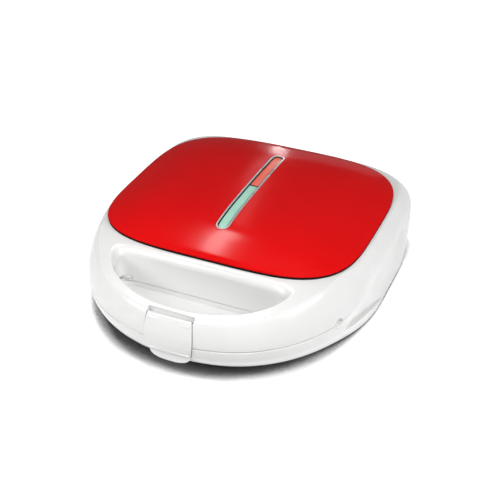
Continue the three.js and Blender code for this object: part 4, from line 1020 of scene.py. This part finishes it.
def base_shell():
    filled = base_filled()
    rim_foot = SEAM_Z - LEDGE_DEPTH - LEDGE_THICKNESS
    deck_top = SEAM_Z - WELL_DECK_DEPTH
    foot_seats = FOOT_HEIGHT - FIT
    block_half = CLIP_WIDTH / 2 + CLIP_SIDE_GAP + LATCH_BLOCK_MARGIN
    inner_blocks = joined([
        rim_block(rim_foot, SEAM_Z),
        slab(WELL_Y, well_outline(0.0, WELL_WALL), deck_top - WELL_WALL, SEAM_Z),
        front_box(block_half, PAST_HANDLE, LATCH_CHANNEL_REACH - WELL_WALL, foot_seats, SEAM_Z),
        *screw_bosses(-LEDGE_DEPTH, foot_seats),
        *[cylinder(FOOT_RADIUS + FIT + SHELL_WALL, FOOT_SEAT + SHELL_WALL + FIT, x, y, foot_seats)
          for x, y in foot_spots()],
        gland_hole(FIT + SHELL_WALL, GLAND_Y - GLAND_DEPTH, GLAND_Y),
    ])
    inner_blocks = kept_in(inner_blocks, base_inside(SHELL_WALL / 2, BASE_TOP, FOOT_HEIGHT))
    cavity = base_inside(SHELL_WALL, BASE_TOP - SHELL_WALL, FOOT_HEIGHT + SHELL_WALL)
    shell = joined([cut_by(filled, [cavity]), inner_blocks])
    shell = cut_by(shell, [
        slab(BOWL_Y, bowl_reach, SEAM_Z - LEDGE_DEPTH, SEAM_Z + OVERRUN),
        slab(BOWL_Y, opening_reach, rim_foot - FIT, SEAM_Z),
        slab(WELL_Y, well_outline(0.0, 0.0), deck_top, SEAM_Z + OVERRUN),
    ])
    ears = []
    for side in SIDES:
        for end in SIDES:
            near = side * HINGE_SPACING / 2 + end * (KNUCKLE_LENGTH / 2 + FIT)
            far = near + end * EAR_THICKNESS
            ears.append(hinge_ear(min(near, far), max(near, far), -1))
    shell = joined([shell, *ears])
    shell = cut_by(shell, [
        clip_prism(CLIP_SIDE_GAP),
        front_box(TONGUE_WIDTH / 2 + CLIP_SIDE_GAP, PAST_HANDLE, LATCH_CHANNEL_REACH,
                  SEAM_Z - TONGUE_DEPTH, SEAM_Z),
        nub_window(1, WELL_REAR_REACH + NUB_REACH, WELL_REAR_REACH - WELL_WALL - OVERRUN / 4),
        *vent_notches(),
        *hinge_holes(),
        *screw_holes(-1),
        *[cylinder(FOOT_RADIUS + FIT, FOOT_SEAT + FIT, x, y, foot_seats) for x, y in foot_spots()],
        gland_hole(FIT, GLAND_Y - GLAND_DEPTH - OVERRUN, GLAND_Y + OVERRUN),
        gland_hole(GLAND_FLANGE + FIT, GLAND_Y, GLAND_Y + OVERRUN),
    ])
    ridge = front_box(CATCH_WIDTH / 2, CATCH_REACH, LATCH_CHANNEL_REACH - WELL_WALL / 2,
                      CATCH_RIDGE_Z, CATCH_RIDGE_Z + CATCH_HEIGHT)
    return joined([shell, ridge])


# Cooking plates with four triangle pockets, drawn for the base

def pocket_corners():
    outer = PLATE_WIDTH / 2 - POCKET_INSET + RIDGE_GAP / 2
    front = PLATE_FRONT + POCKET_INSET - RIDGE_GAP / 2
    rear = PLATE_REAR - POCKET_INSET + RIDGE_GAP / 2
    triangles = []
    for side in SIDES:
        near_triangle = [(0, front), (side * outer, front), (side * outer, rear)]
        far_triangle = [(0, front), (side * outer, rear), (0, rear)]
        for corners in (near_triangle, far_triangle):
            triangles.append(np.array(corners if side > 0 else corners[::-1], float))
    return triangles


def triangle_ring(corners, inset, radius, z):
    """A triangle with rounded corners at one height, moved in from its sides by an inset."""
    points = []
    for i in range(3):
        before = corners[i] - corners[i - 1]
        after = corners[(i + 1) % 3] - corners[i]
        before /= np.linalg.norm(before)
        after /= np.linalg.norm(after)
        normals = [np.array([-way[1], way[0]]) for way in (before, after)]
        to_centre = (normals[0] + normals[1]) * (inset + radius) / (1 + normals[0] @ normals[1])
        start = math.atan2(-normals[0][1], -normals[0][0])
        turn = math.atan2(before[0] * after[1] - before[1] * after[0], before @ after)
        for k in range(CORNER_SEGMENTS + 1):
            angle = start + turn * k / CORNER_SEGMENTS
            x, y = corners[i] + to_centre + radius * np.array([math.cos(angle), math.sin(angle)])
            points.append((x, y, z))
    return np.array(points)


def pocket_solid(corners, growth, top_z):
    """A pocket with a rounded brow and a rounded floor edge, or with growth the bulge under it."""
    surface = SEAM_Z - PLATE_GAP - growth

    def ring_at(draft, z, more):
        inset = RIDGE_GAP / 2 - growth + POCKET_DRAFT * draft + more
        return triangle_ring(corners, inset, POCKET_CORNER * (1 - draft / 2) + growth, z)

    rounding = [(math.sin(turn), math.cos(turn)) for turn in np.linspace(0, QUARTER, POCKET_STEPS + 1)]
    rings = [
        ring_at(0, top_z, -POCKET_BROW),
        *[ring_at(0, surface - POCKET_BROW * (1 - c), -POCKET_BROW * (1 - s)) for s, c in rounding],
        *[ring_at(draft, surface - POCKET_DEPTH * share, 0) for draft, share in POCKET_WALL_SHARES],
        *[ring_at(FLOOR_DRAFT_SHARE, surface - POCKET_DEPTH + POCKET_FLOOR_ROUND * (1 - s),
                  POCKET_FLOOR_ROUND * (1 - c)) for s, c in rounding],
    ]
    x, y, _ = rings[0].mean(axis=0)
    return loft((x, y, top_z), rings, (x, y, surface - POCKET_DEPTH))


def depth_box(x0, x1, y0, y1, near_depth, far_depth):
    """A box between two depths under the parting line."""
    return box(x0, x1, y0, y1, SEAM_Z - far_depth, SEAM_Z - near_depth)


def cooking_plate():
    top = SEAM_Z - PLATE_GAP
    outline = rounded_rectangle(PLATE_WIDTH / 2, PLATE_DEPTH / 2, PLATE_Y, PLATE_CORNER)
    flange = up_prism(outline, top - PLATE_FLANGE, top)
    bulges = [pocket_solid(corners, PLATE_WALL, top - PLATE_FLANGE / 2) for corners in pocket_corners()]
    tabs = [
        depth_box(side * TAB_SPACING / 2 - TAB_WIDTH / 2, side * TAB_SPACING / 2 + TAB_WIDTH / 2,
                  PLATE_REAR - TAB_LENGTH, PLATE_REAR + TAB_LENGTH,
                  FLANGE_BOTTOM_DEPTH - TAB_THICKNESS, FLANGE_BOTTOM_DEPTH)
        for side in SIDES
    ]
    half = CATCH_WIDTH / 2 + FIT
    release = SLIDE_OFFSET + SLIDE_TRAVEL
    near, far = PLATE_FRONT - FIT, PLATE_FRONT + FINGER_LAP + FIT
    ledge_depth = SLIDE_TOP_DEPTH + FINGER_THICKNESS + FIT
    ledge_cut = depth_box(SLIDE_OFFSET - half, release + half, near, far, 0, ledge_depth)
    release_cut = depth_box(release - half, release + half, near, far, 0, FRAME_BOTTOM_DEPTH)
    pockets = [pocket_solid(corners, 0, SEAM_Z) for corners in pocket_corners()]
    return cut_by(joined([flange, *bulges, *tabs]), [*pockets, ledge_cut, release_cut])


def turned_over(piece):
    """The lid's copy of a base piece, turned over about the parting line."""
    for vertex in piece.data.vertices:
        x, y, z = vertex.co
        vertex.co = (-x, y, 2 * SEAM_Z * METRE - z)
    return piece


# Materials

def node(tree, kind, values=None, **settings):
    """A new node in a tree, with settings as properties and values as unlinked inputs."""
    made_node = tree.nodes.new("ShaderNode" + kind)
    for key, value in settings.items():
        setattr(made_node, key, value)
    for key, value in (values or {}).items():
        made_node.inputs[key].default_value = value
    return made_node


def wire(tree, *links):
    """Links nodes in a tree: each link is (from node, output, to node, input)."""
    for source, output, target, entry in links:
        tree.links.new(source.outputs[output], target.inputs[entry])


def effect(name, inputs, output, kind):
    """An empty node group with named inputs and one output, and the nodes that stand for its two ends."""
    group = bpy.data.node_groups.new(name, "ShaderNodeTree")
    for label, value in inputs.items():
        input_kind = "NodeSocketColor" if isinstance(value, tuple) else "NodeSocketFloat"
        group.interface.new_socket(label, in_out="INPUT", socket_type=input_kind).default_value = value
    group.interface.new_socket(output, in_out="OUTPUT", socket_type="NodeSocket" + kind)
    return group, group.nodes.new("NodeGroupInput"), group.nodes.new("NodeGroupOutput")


def surface_noise(group, start, size, detail, roughness=0.5):
    """Noise over the piece's surface, with patches of the size that a named input gives."""
    place = node(group, "TexCoord")
    scale = node(group, "Math", {0: 1.0}, operation="DIVIDE")
    noise = node(group, "TexNoise", {"Detail": detail, "Roughness": roughness})
    wire(group,
         (start, size, scale, 1),
         (place, "Object", noise, "Vector"),
         (scale, 0, noise, "Scale"))
    return noise


def uneven_value():
    """A value that drifts between two ends over the surface, as handling and polish leave it."""
    group, start, end = effect("uneven_value", {"Size": 0.03, "Low": 0.2, "High": 0.3}, "Value", "Float")
    noise = surface_noise(group, start, "Size", 4.0, 0.6)
    spread = node(group, "MapRange", {"From Min": 0.3, "From Max": 0.7})
    wire(group,
         (noise, "Fac", spread, "Value"),
         (start, "Low", spread, "To Min"),
         (start, "High", spread, "To Max"),
         (spread, "Result", end, "Value"))
    return group


def tone_drift():
    """A colour that drifts a little towards a second one over the surface."""
    white = (1, 1, 1, 1)
    group, start, end = effect("tone_drift", {"Main": white, "Other": white, "Size": 0.04}, "Color", "Color")
    noise = surface_noise(group, start, "Size", 3.0, 0.55)
    spread = node(group, "MapRange", {"From Min": 0.35, "From Max": 0.7})
    mix = node(group, "Mix", data_type="RGBA")
    wire(group,
         (noise, "Fac", spread, "Value"),
         (spread, "Result", mix, "Factor"),
         (start, "Main", mix, 6),
         (start, "Other", mix, 7),
         (mix, 2, end, "Color"))
    return group


def soft_edges():
    """The surface's normal with its sharp edges rounded and a fine grain in it."""
    inputs = {"Radius": 0.0004, "Grain Size": 0.001, "Grain Height": 0.00001}
    group, start, end = effect("soft_edges", inputs, "Normal", "Vector")
    bevel = node(group, "Bevel", samples=6)
    noise = surface_noise(group, start, "Grain Size", 2.0)
    bump = node(group, "Bump", {"Strength": 1.0})
    wire(group,
         (start, "Radius", bevel, "Radius"),
         (noise, "Fac", bump, "Height"),
         (start, "Grain Height", bump, "Distance"),
         (bevel, "Normal", bump, "Normal"),
         (bump, "Normal", end, "Normal"))
    return group


def edge_mask():
    """A mask that is 1 along the outer edges, broken up as rubbing breaks it."""
    inputs = {"Radius": 0.001, "Patch Size": 0.004, "Amount": 0.5}
    group, start, end = effect("edge_mask", inputs, "Mask", "Float")
    bevel = node(group, "Bevel", samples=6)
    plain = node(group, "NewGeometry")
    dot = node(group, "VectorMath", operation="DOT_PRODUCT")
    turned = node(group, "MapRange", {"From Min": 0.97, "From Max": 0.8})
    noise = surface_noise(group, start, "Patch Size", 5.0, 0.7)
    patches = node(group, "MapRange", {"From Min": 0.45, "From Max": 0.62})
    both = node(group, "Math", operation="MULTIPLY")
    weighed = node(group, "Math", operation="MULTIPLY")
    wire(group,
         (start, "Radius", bevel, "Radius"),
         (bevel, "Normal", dot, 0),
         (plain, "Normal", dot, 1),
         (dot, "Value", turned, "Value"),
         (noise, "Fac", patches, "Value"),
         (turned, "Result", both, 0),
         (patches, "Result", both, 1),
         (both, 0, weighed, 0),
         (start, "Amount", weighed, 1),
         (weighed, 0, end, "Mask"))
    return group


EFFECTS = {make.__name__: make() for make in (uneven_value, tone_drift, soft_edges, edge_mask)}


def placed(material, effect_name, **values):
    """One of the effects in a material, with this material's own values."""
    spot = material.node_tree.nodes.new("ShaderNodeGroup")
    spot.name = effect_name
    spot.node_tree = EFFECTS[effect_name]
    for key, value in values.items():
        spot.inputs[key.replace("_", " ").title()].default_value = value
    return spot


def finish_of(name, main, other, rough, drift=0.05, patch=0.02, radius=0.0004, grain=0.0008,
              grain_height=0.000004, **constants):
    """A material whose tone and roughness drift, with rounded edges and a fine grain."""
    material = bpy.data.materials.new(name)
    material.use_nodes = True
    shader = material.node_tree.nodes["Principled BSDF"]
    for key, value in constants.items():
        shader.inputs[key.replace("_", " ")].default_value = value
    tone = placed(material, "tone_drift", main=(*main, 1), other=(*other, 1), size=drift)
    polish = placed(material, "uneven_value", size=patch, low=rough[0], high=rough[1])
    normal = placed(material, "soft_edges", radius=radius, grain_size=grain, grain_height=grain_height)
    wire(material.node_tree,
         (tone, "Color", shader, "Base Color"),
         (polish, "Value", shader, "Roughness"),
         (normal, "Normal", shader, "Normal"))
    return material


def glossy_white_plastic():
    return finish_of("glossy_white_plastic", (0.84, 0.84, 0.835), (0.81, 0.81, 0.80), (0.18, 0.235),
                     radius=0.0005, grain=0.0025)


def red_lacquer():
    """Satin red lacquer: a deep even tone under a weak clear coat."""
    return finish_of("red_lacquer", (0.76, 0.005, 0.006), (0.72, 0.004, 0.005), (0.34, 0.40), patch=0.06,
                     grain=0.0005, grain_height=0.0000008,
                     Specular_IOR_Level=0.0, Coat_Weight=0.07, Coat_Roughness=0.13)


def tinted_lens(name, main, other, glow):
    """A clouded lens that lets a little of the light behind it through."""
    material = finish_of(name, main, other, (0.3, 0.42), drift=0.008, patch=0.006, radius=0.0003,
                         grain=0.0006, grain_height=0.00001,
                         Transmission_Weight=0.1, Specular_IOR_Level=0.12, Emission_Strength=glow)
    nodes = material.node_tree.nodes
    wire(material.node_tree, (nodes["tone_drift"], "Color", nodes["Principled BSDF"], "Emission Color"))
    return material


def clear_trim():
    return finish_of("clear_trim", (0.60, 0.57, 0.57), (0.48, 0.45, 0.45), (0.24, 0.34), radius=0.0003,
                     Transmission_Weight=0.3)


def black_frame_plastic():
    return finish_of("black_frame_plastic", (0.020, 0.020, 0.022), (0.034, 0.033, 0.032), (0.42, 0.6),
                     grain=0.0005, grain_height=0.00003)


def nonstick_coating():
    """Dark coating with fine pale flecks, rubbed to the metal in spots along the ridges."""
    material = finish_of("nonstick_coating", (0.017, 0.017, 0.018), (0.026, 0.026, 0.027), (0.34, 0.5),
                         patch=0.012, radius=0.0006, grain=0.0007, grain_height=0.00002)
    tree = material.node_tree
    place = node(tree, "TexCoord")
    flecks = node(tree, "TexVoronoi", {"Scale": 900.0})
    fine = node(tree, "MapRange", {"From Min": 0.16, "From Max": 0.08})
    fleck_mix = node(tree, "Mix", {7: (0.14, 0.14, 0.145, 1)}, data_type="RGBA")
    rubbed = placed(material, "edge_mask", radius=0.0012, patch_size=0.006, amount=0.35)
    wear_mix = node(tree, "Mix", {7: (0.30, 0.29, 0.28, 1)}, data_type="RGBA")
    wire(tree,
         (place, "Object", flecks, "Vector"),
         (flecks, "Distance", fine, "Value"),
         (fine, "Result", fleck_mix, "Factor"),
         (tree.nodes["tone_drift"], "Color", fleck_mix, 6),
         (rubbed, "Mask", wear_mix, "Factor"),
         (fleck_mix, 2, wear_mix, 6),
         (wear_mix, 2, tree.nodes["Principled BSDF"], "Base Color"))
    return material


def bright_steel():
    return finish_of("bright_steel", (0.56, 0.57, 0.58), (0.47, 0.48, 0.49), (0.22, 0.38), drift=0.006,
                     patch=0.004, grain=0.0003, grain_height=0.000006, Metallic=1.0)


def spun_aluminium():
    return finish_of("spun_aluminium", (0.66, 0.66, 0.67), (0.56, 0.56, 0.57), (0.32, 0.5), drift=0.02,
                     grain=0.0005, grain_height=0.00001, Metallic=1.0)


def black_rubber():
    return finish_of("black_rubber", (0.016, 0.016, 0.016), (0.045, 0.044, 0.042), (0.62, 0.85), drift=0.008,
                     grain=0.0004, grain_height=0.00004)


def seal_and_shade_black():
    """Matt black, too dull for white surroundings to show in it: the lens seal, and painted shade under the
    cover's edge.
    """
    return finish_of("seal_and_shade_black", (0.005, 0.005, 0.005), (0.010, 0.010, 0.009), (0.85, 0.95), drift=0.003,
                     radius=0.0002, grain=0.0003, grain_height=0.00002, Specular_IOR_Level=0.05)


def pale_ceramic():
    return finish_of("pale_ceramic", (0.74, 0.70, 0.62), (0.66, 0.62, 0.54), (0.5, 0.7), drift=0.01,
                     grain=0.0005, grain_height=0.00003)


def lamp_glass():
    return finish_of("lamp_glass", (0.82, 0.74, 0.64), (0.74, 0.66, 0.56), (0.06, 0.14), drift=0.01,
                     Transmission_Weight=0.5)


# Dressing the pieces

SHARP_ANGLE = math.radians(38)
WELD_REACH = 0.01


def mounted(piece, name, body, material):
    """Names a piece, puts it on a body and shades it smooth in one material, with its real edges kept."""
    piece.name = name
    piece.data.name = name
    piece.data.materials.clear()
    piece.data.materials.append(material)
    piece.data.shade_smooth()
    piece.data.set_sharp_from_angle(angle=SHARP_ANGLE)
    weighted = piece.modifiers.new("weighted_normals", "WEIGHTED_NORMAL")
    weighted.keep_sharp = True
    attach(piece, body)


def stands_for(piece, name, cad_node, body, material):
    """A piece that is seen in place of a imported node."""
    mounted(piece, name, body, material)
    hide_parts(cad_node)


def trim_on(piece, name, body, material):
    """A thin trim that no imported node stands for."""
    mounted(piece, name, body, material)


def smooth_rounds():
    """A modifier's nodes: welds the facets, shades the rounds smooth and keeps the real edges."""
    group = bpy.data.node_groups.new("smooth_rounds", "GeometryNodeTree")
    for way in ("INPUT", "OUTPUT"):
        group.interface.new_socket("Geometry", in_out=way, socket_type="NodeSocketGeometry")
    start = group.nodes.new("NodeGroupInput")
    end = group.nodes.new("NodeGroupOutput")
    plain = group.nodes.new("GeometryNodeRemoveAttribute")
    plain.inputs["Name"].default_value = "custom_normal"
    weld = group.nodes.new("GeometryNodeMergeByDistance")
    weld.inputs["Distance"].default_value = WELD_REACH * METRE
    faces = group.nodes.new("GeometryNodeSetShadeSmooth")
    edges = group.nodes.new("GeometryNodeSetShadeSmooth")
    edges.domain = "EDGE"
    angle = group.nodes.new("GeometryNodeInputMeshEdgeAngle")
    gentle = group.nodes.new("FunctionNodeCompare")
    gentle.operation = "LESS_THAN"
    gentle.inputs["B"].default_value = SHARP_ANGLE
    wire(group,
         (start, 0, plain, "Geometry"),
         (plain, 0, weld, "Geometry"),
         (weld, 0, faces, "Geometry"),
         (faces, 0, edges, "Geometry"),
         (angle, "Unsigned Angle", gentle, "A"),
         (gentle, "Result", edges, "Shade Smooth"),
         (edges, 0, end, 0))
    return group


SMOOTH_ROUNDS = smooth_rounds()


def dressed_node(cad_node, material):
    """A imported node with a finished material, its facets welded and its real edges kept."""
    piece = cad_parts[cad_node]
    for spot in piece.material_slots:
        spot.material = material
    modifier = piece.modifiers.new("smooth_rounds", "NODES")
    modifier.node_group = SMOOTH_ROUNDS


WHITE = glossy_white_plastic()
RED = red_lacquer()
BLACK = black_frame_plastic()
COATING = nonstick_coating()
STEEL = bright_steel()
ALUMINIUM = spun_aluminium()
RUBBER = black_rubber()
# Matt black for the lens seal, and painted shade in the gap under the cover's edge
SEAL_AND_SHADE = seal_and_shade_black()
CERAMIC = pale_ceramic()
GLASS = lamp_glass()
CLEAR = clear_trim()
MINT = tinted_lens("mint_lens", (0.39, 0.70, 0.57), (0.34, 0.65, 0.52), 0.1)
ORANGE = tinted_lens("orange_lens", (0.86, 0.085, 0.03), (0.80, 0.075, 0.025), 0.08)

stands_for(lid_shell(), "lid_shell", "upper_housing", "lid", WHITE)
stands_for(base_shell(), "base_shell", "lower_housing", "base", WHITE)
stands_for(red_cover(), "red_cover", "top_panel", "lid", RED)
stands_for(window_frame(), "window_frame", "lamp_bezel", "lid", CLEAR)
stands_for(lens(True), "mint_lamp_lens", "ready_lens", "lid", MINT)
stands_for(lens(False), "orange_lamp_lens", "power_lens", "lid", ORANGE)
# The strip under the cover is black as painted shade for the gap under its edge, and as a seal
trim_on(cover_seal_and_shade(), "cover_seal_and_shade", "lid", SEAL_AND_SHADE)
trim_on(lens_seal(), "lens_seal", "lid", SEAL_AND_SHADE)
stands_for(handle_latch(), "handle_latch", "latch_clip", "latch", WHITE)
stands_for(cooking_plate(), "base_plate", "lower_cooking_plate", "base", COATING)
stands_for(turned_over(cooking_plate()), "lid_plate", "upper_cooking_plate", "lid", COATING)

NODE_FINISHES = (
    ("inner_frame", BLACK),
    ("reflector_pan", ALUMINIUM),
    ("heating_element", STEEL),
    ("plate_release", WHITE),
    ("element_support", CERAMIC),
    ("frame_screw", STEEL),
    ("lamp_carrier", WHITE),
    ("_lamp", GLASS),
    ("thermostat", CERAMIC),
    ("thermal_fuse", CERAMIC),
    ("latch_pin", STEEL),
    ("cord_gland", RUBBER),
    ("terminal_block", CERAMIC),
    ("foot_", RUBBER),
    ("hinge_pin", STEEL),
)
for node_name, node_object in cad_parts.items():
    if node_object.hide_render:
        continue
    finish = next(material for words, material in NODE_FINISHES if words in node_name)
    dressed_node(node_name, finish)


# Camera at the photograph's place

CAMERA_AZIMUTH = math.radians(23.69)
CAMERA_ELEVATION = math.radians(34.10)
CAMERA_DISTANCE = 726.6
CAMERA_TARGET = Vector((26.67, -49.96, 79)) * METRE
CAMERA_LENS = 70.13
CAMERA_FILM = 36


def add_camera():
    back = Vector((
        math.sin(CAMERA_AZIMUTH) * math.cos(CAMERA_ELEVATION),
        -math.cos(CAMERA_AZIMUTH) * math.cos(CAMERA_ELEVATION),
        math.sin(CAMERA_ELEVATION),
    ))
    data = bpy.data.cameras.new("camera")
    data.lens = CAMERA_LENS
    data.sensor_width = CAMERA_FILM
    camera = bpy.data.objects.new("camera", data)
    camera.location = CAMERA_TARGET + back * CAMERA_DISTANCE * METRE
    camera.rotation_mode = "QUATERNION"
    camera.rotation_quaternion = (-back).to_track_quat("-Z", "Y")
    bpy.context.scene.collection.objects.link(camera)
    bpy.context.scene.camera = camera


# Studio: pale floor, white surroundings and soft lamps

def seen_directly(tree):
    """A node that is 1 for camera, mirror and see-through rays and 0 for the light that falls on things."""
    path = node(tree, "LightPath")
    first = node(tree, "Math", operation="MAXIMUM")
    both = node(tree, "Math", operation="MAXIMUM")
    wire(tree,
         (path, "Is Camera Ray", first, 0),
         (path, "Is Glossy Ray", first, 1),
         (first, 0, both, 0),
         (path, "Is Transmission Ray", both, 1))
    return both


def white_surroundings(ambient):
    """White all round for the camera and in gloss, with a weaker even light from all sides."""
    world = bpy.data.worlds.new("surroundings")
    world.use_nodes = True
    tree = world.node_tree
    background = tree.nodes["Background"]
    background.inputs["Color"].default_value = (1, 1, 1, 1)
    strength = node(tree, "Mix", {2: ambient, 3: 1.0}, data_type="FLOAT")
    wire(tree,
         (seen_directly(tree), 0, strength, 0),
         (strength, 0, background, "Strength"))
    bpy.context.scene.world = world


FLOOR_HALF = 6.0
FLOOR_TONE = (0.75, 0.75, 0.75, 1)
SHADOW_TONE = (0.04, 0.04, 0.04, 1)
SHADOW_LEAN = (0.66, -0.63, 0.36)
SHADOW_REACH = 0.03
SHADOW_DARKEST = 0.79
SHADOW_EDGE = 0.89


def pale_floor(lift):
    """A wide pale floor that darkens where something close by stands in the leaning direction."""
    corners = [(x * FLOOR_HALF, y * FLOOR_HALF, 0) for x, y in ((-1, -1), (1, -1), (1, 1), (-1, 1))]
    mesh = bpy.data.meshes.new("floor")
    mesh.from_pydata(corners, [], [(0, 1, 2, 3)])
    floor = bpy.data.objects.new("floor", mesh)
    bpy.context.scene.collection.objects.link(floor)
    material = bpy.data.materials.new("floor")
    material.use_nodes = True
    tree = material.node_tree
    shader = tree.nodes["Principled BSDF"]
    shader.inputs["Roughness"].default_value = 0.9
    shader.inputs["Specular IOR Level"].default_value = 0.0
    shader.inputs["Emission Color"].default_value = (1, 1, 1, 1)
    lean = node(tree, "CombineXYZ", dict(zip("XYZ", SHADOW_LEAN)))
    near = node(tree, "AmbientOcclusion", {"Distance": SHADOW_REACH}, samples=16)
    contact = node(tree, "MapRange", {"From Min": SHADOW_DARKEST, "From Max": SHADOW_EDGE},
                   interpolation_type="SMOOTHSTEP")
    tone = node(tree, "Mix", {6: SHADOW_TONE, 7: FLOOR_TONE}, data_type="RGBA")
    glow = node(tree, "Math", {1: lift}, operation="MULTIPLY")
    lit = node(tree, "Math", operation="MULTIPLY")
    wire(tree,
         (lean, "Vector", near, "Normal"),
         (near, "AO", contact, "Value"),
         (contact, "Result", tone, "Factor"),
         (tone, 2, shader, "Base Color"),
         (seen_directly(tree), 0, glow, 0),
         (glow, 0, lit, 0),
         (contact, "Result", lit, 1),
         (lit, 0, shader, "Emission Strength"))
    mesh.materials.append(material)


def add_lamp(name, place, turn, width, height, power):
    data = bpy.data.lights.new(name, "AREA")
    data.shape = "RECTANGLE"
    data.size = width
    data.size_y = height
    data.energy = power
    lamp = bpy.data.objects.new(name, data)
    lamp.location = place
    lamp.rotation_mode = "QUATERNION"
    lamp.rotation_quaternion = turn
    lamp.visible_camera = False
    bpy.context.scene.collection.objects.link(lamp)
    return lamp


def softbox(name, place, target, size, power):
    turn = (Vector(target) - Vector(place)).to_track_quat("-Z", "Y")
    return add_lamp(name, place, turn, size, size, power)


def gleam_strip(name, start, end, target, width, power):
    """A narrow lamp between two points that shows in polish and sheds no soft light."""
    start, end = Vector(start), Vector(end)
    place = (start + end) / 2
    along = (end - start).normalized()
    back = place - Vector(target)
    back = (back - along * back.dot(along)).normalized()
    turn = Matrix((along.cross(back), along, back)).transposed().to_quaternion()
    lamp = add_lamp(name, place, turn, width, (end - start).length, power)
    lamp.visible_diffuse = False


# Lamps: name, place, what it faces, size and power
SOFTBOXES = (
    ("left_softbox", (-0.30, -0.45, 0.42), (0.0, -0.05, 0.05), 0.25, 0.75),
    ("left_fill", (-0.24, -0.36, 0.24), (-0.03, -0.05, 0.06), 0.15, 0.42),
    ("right_softbox", (0.57, -0.18, 0.36), (0.05, 0.0, 0.05), 0.33, 2.0),
    ("top_softbox", (0.0, 0.0, 0.95), (0.0, 0.0, 0.05), 0.5, 0.85),
    ("rear_softbox", (-0.12, 0.75, 0.10), (0.0, 0.12, 0.04), 0.3, 0.5),
    ("front_softbox", (0.10, -0.30, 0.44), (0.02, -0.06, 0.08), 0.2, 0.8),
)
# Strips whose mirror image runs along the lamp window: name, two ends, what it faces, width and power
GLEAM_STRIPS = (
    ("low_strip", (-0.205, 0.664, 0.03), (-0.198, 0.626, 0.235), (0.0, 0.09, 0.09), 0.022, 0.6),
    ("middle_strip", (-0.198, 0.626, 0.235), (-0.198, 0.305, 0.535), (0.0, 0.02, 0.09), 0.022, 0.3),
    ("high_strip", (-0.203, 0.24, 0.565), (-0.22, -0.02, 0.645), (0.0, -0.06, 0.08), 0.018, 2.5),
)
AMBIENT_LIGHT = 0.1
FLOOR_LIFT = 0.87

add_camera()
white_surroundings(AMBIENT_LIGHT)
pale_floor(FLOOR_LIFT)
for lamp_row in SOFTBOXES:
    softbox(*lamp_row)
for lamp_row in GLEAM_STRIPS:
    gleam_strip(*lamp_row)

bpy.context.scene.view_settings.view_transform = "Standard"
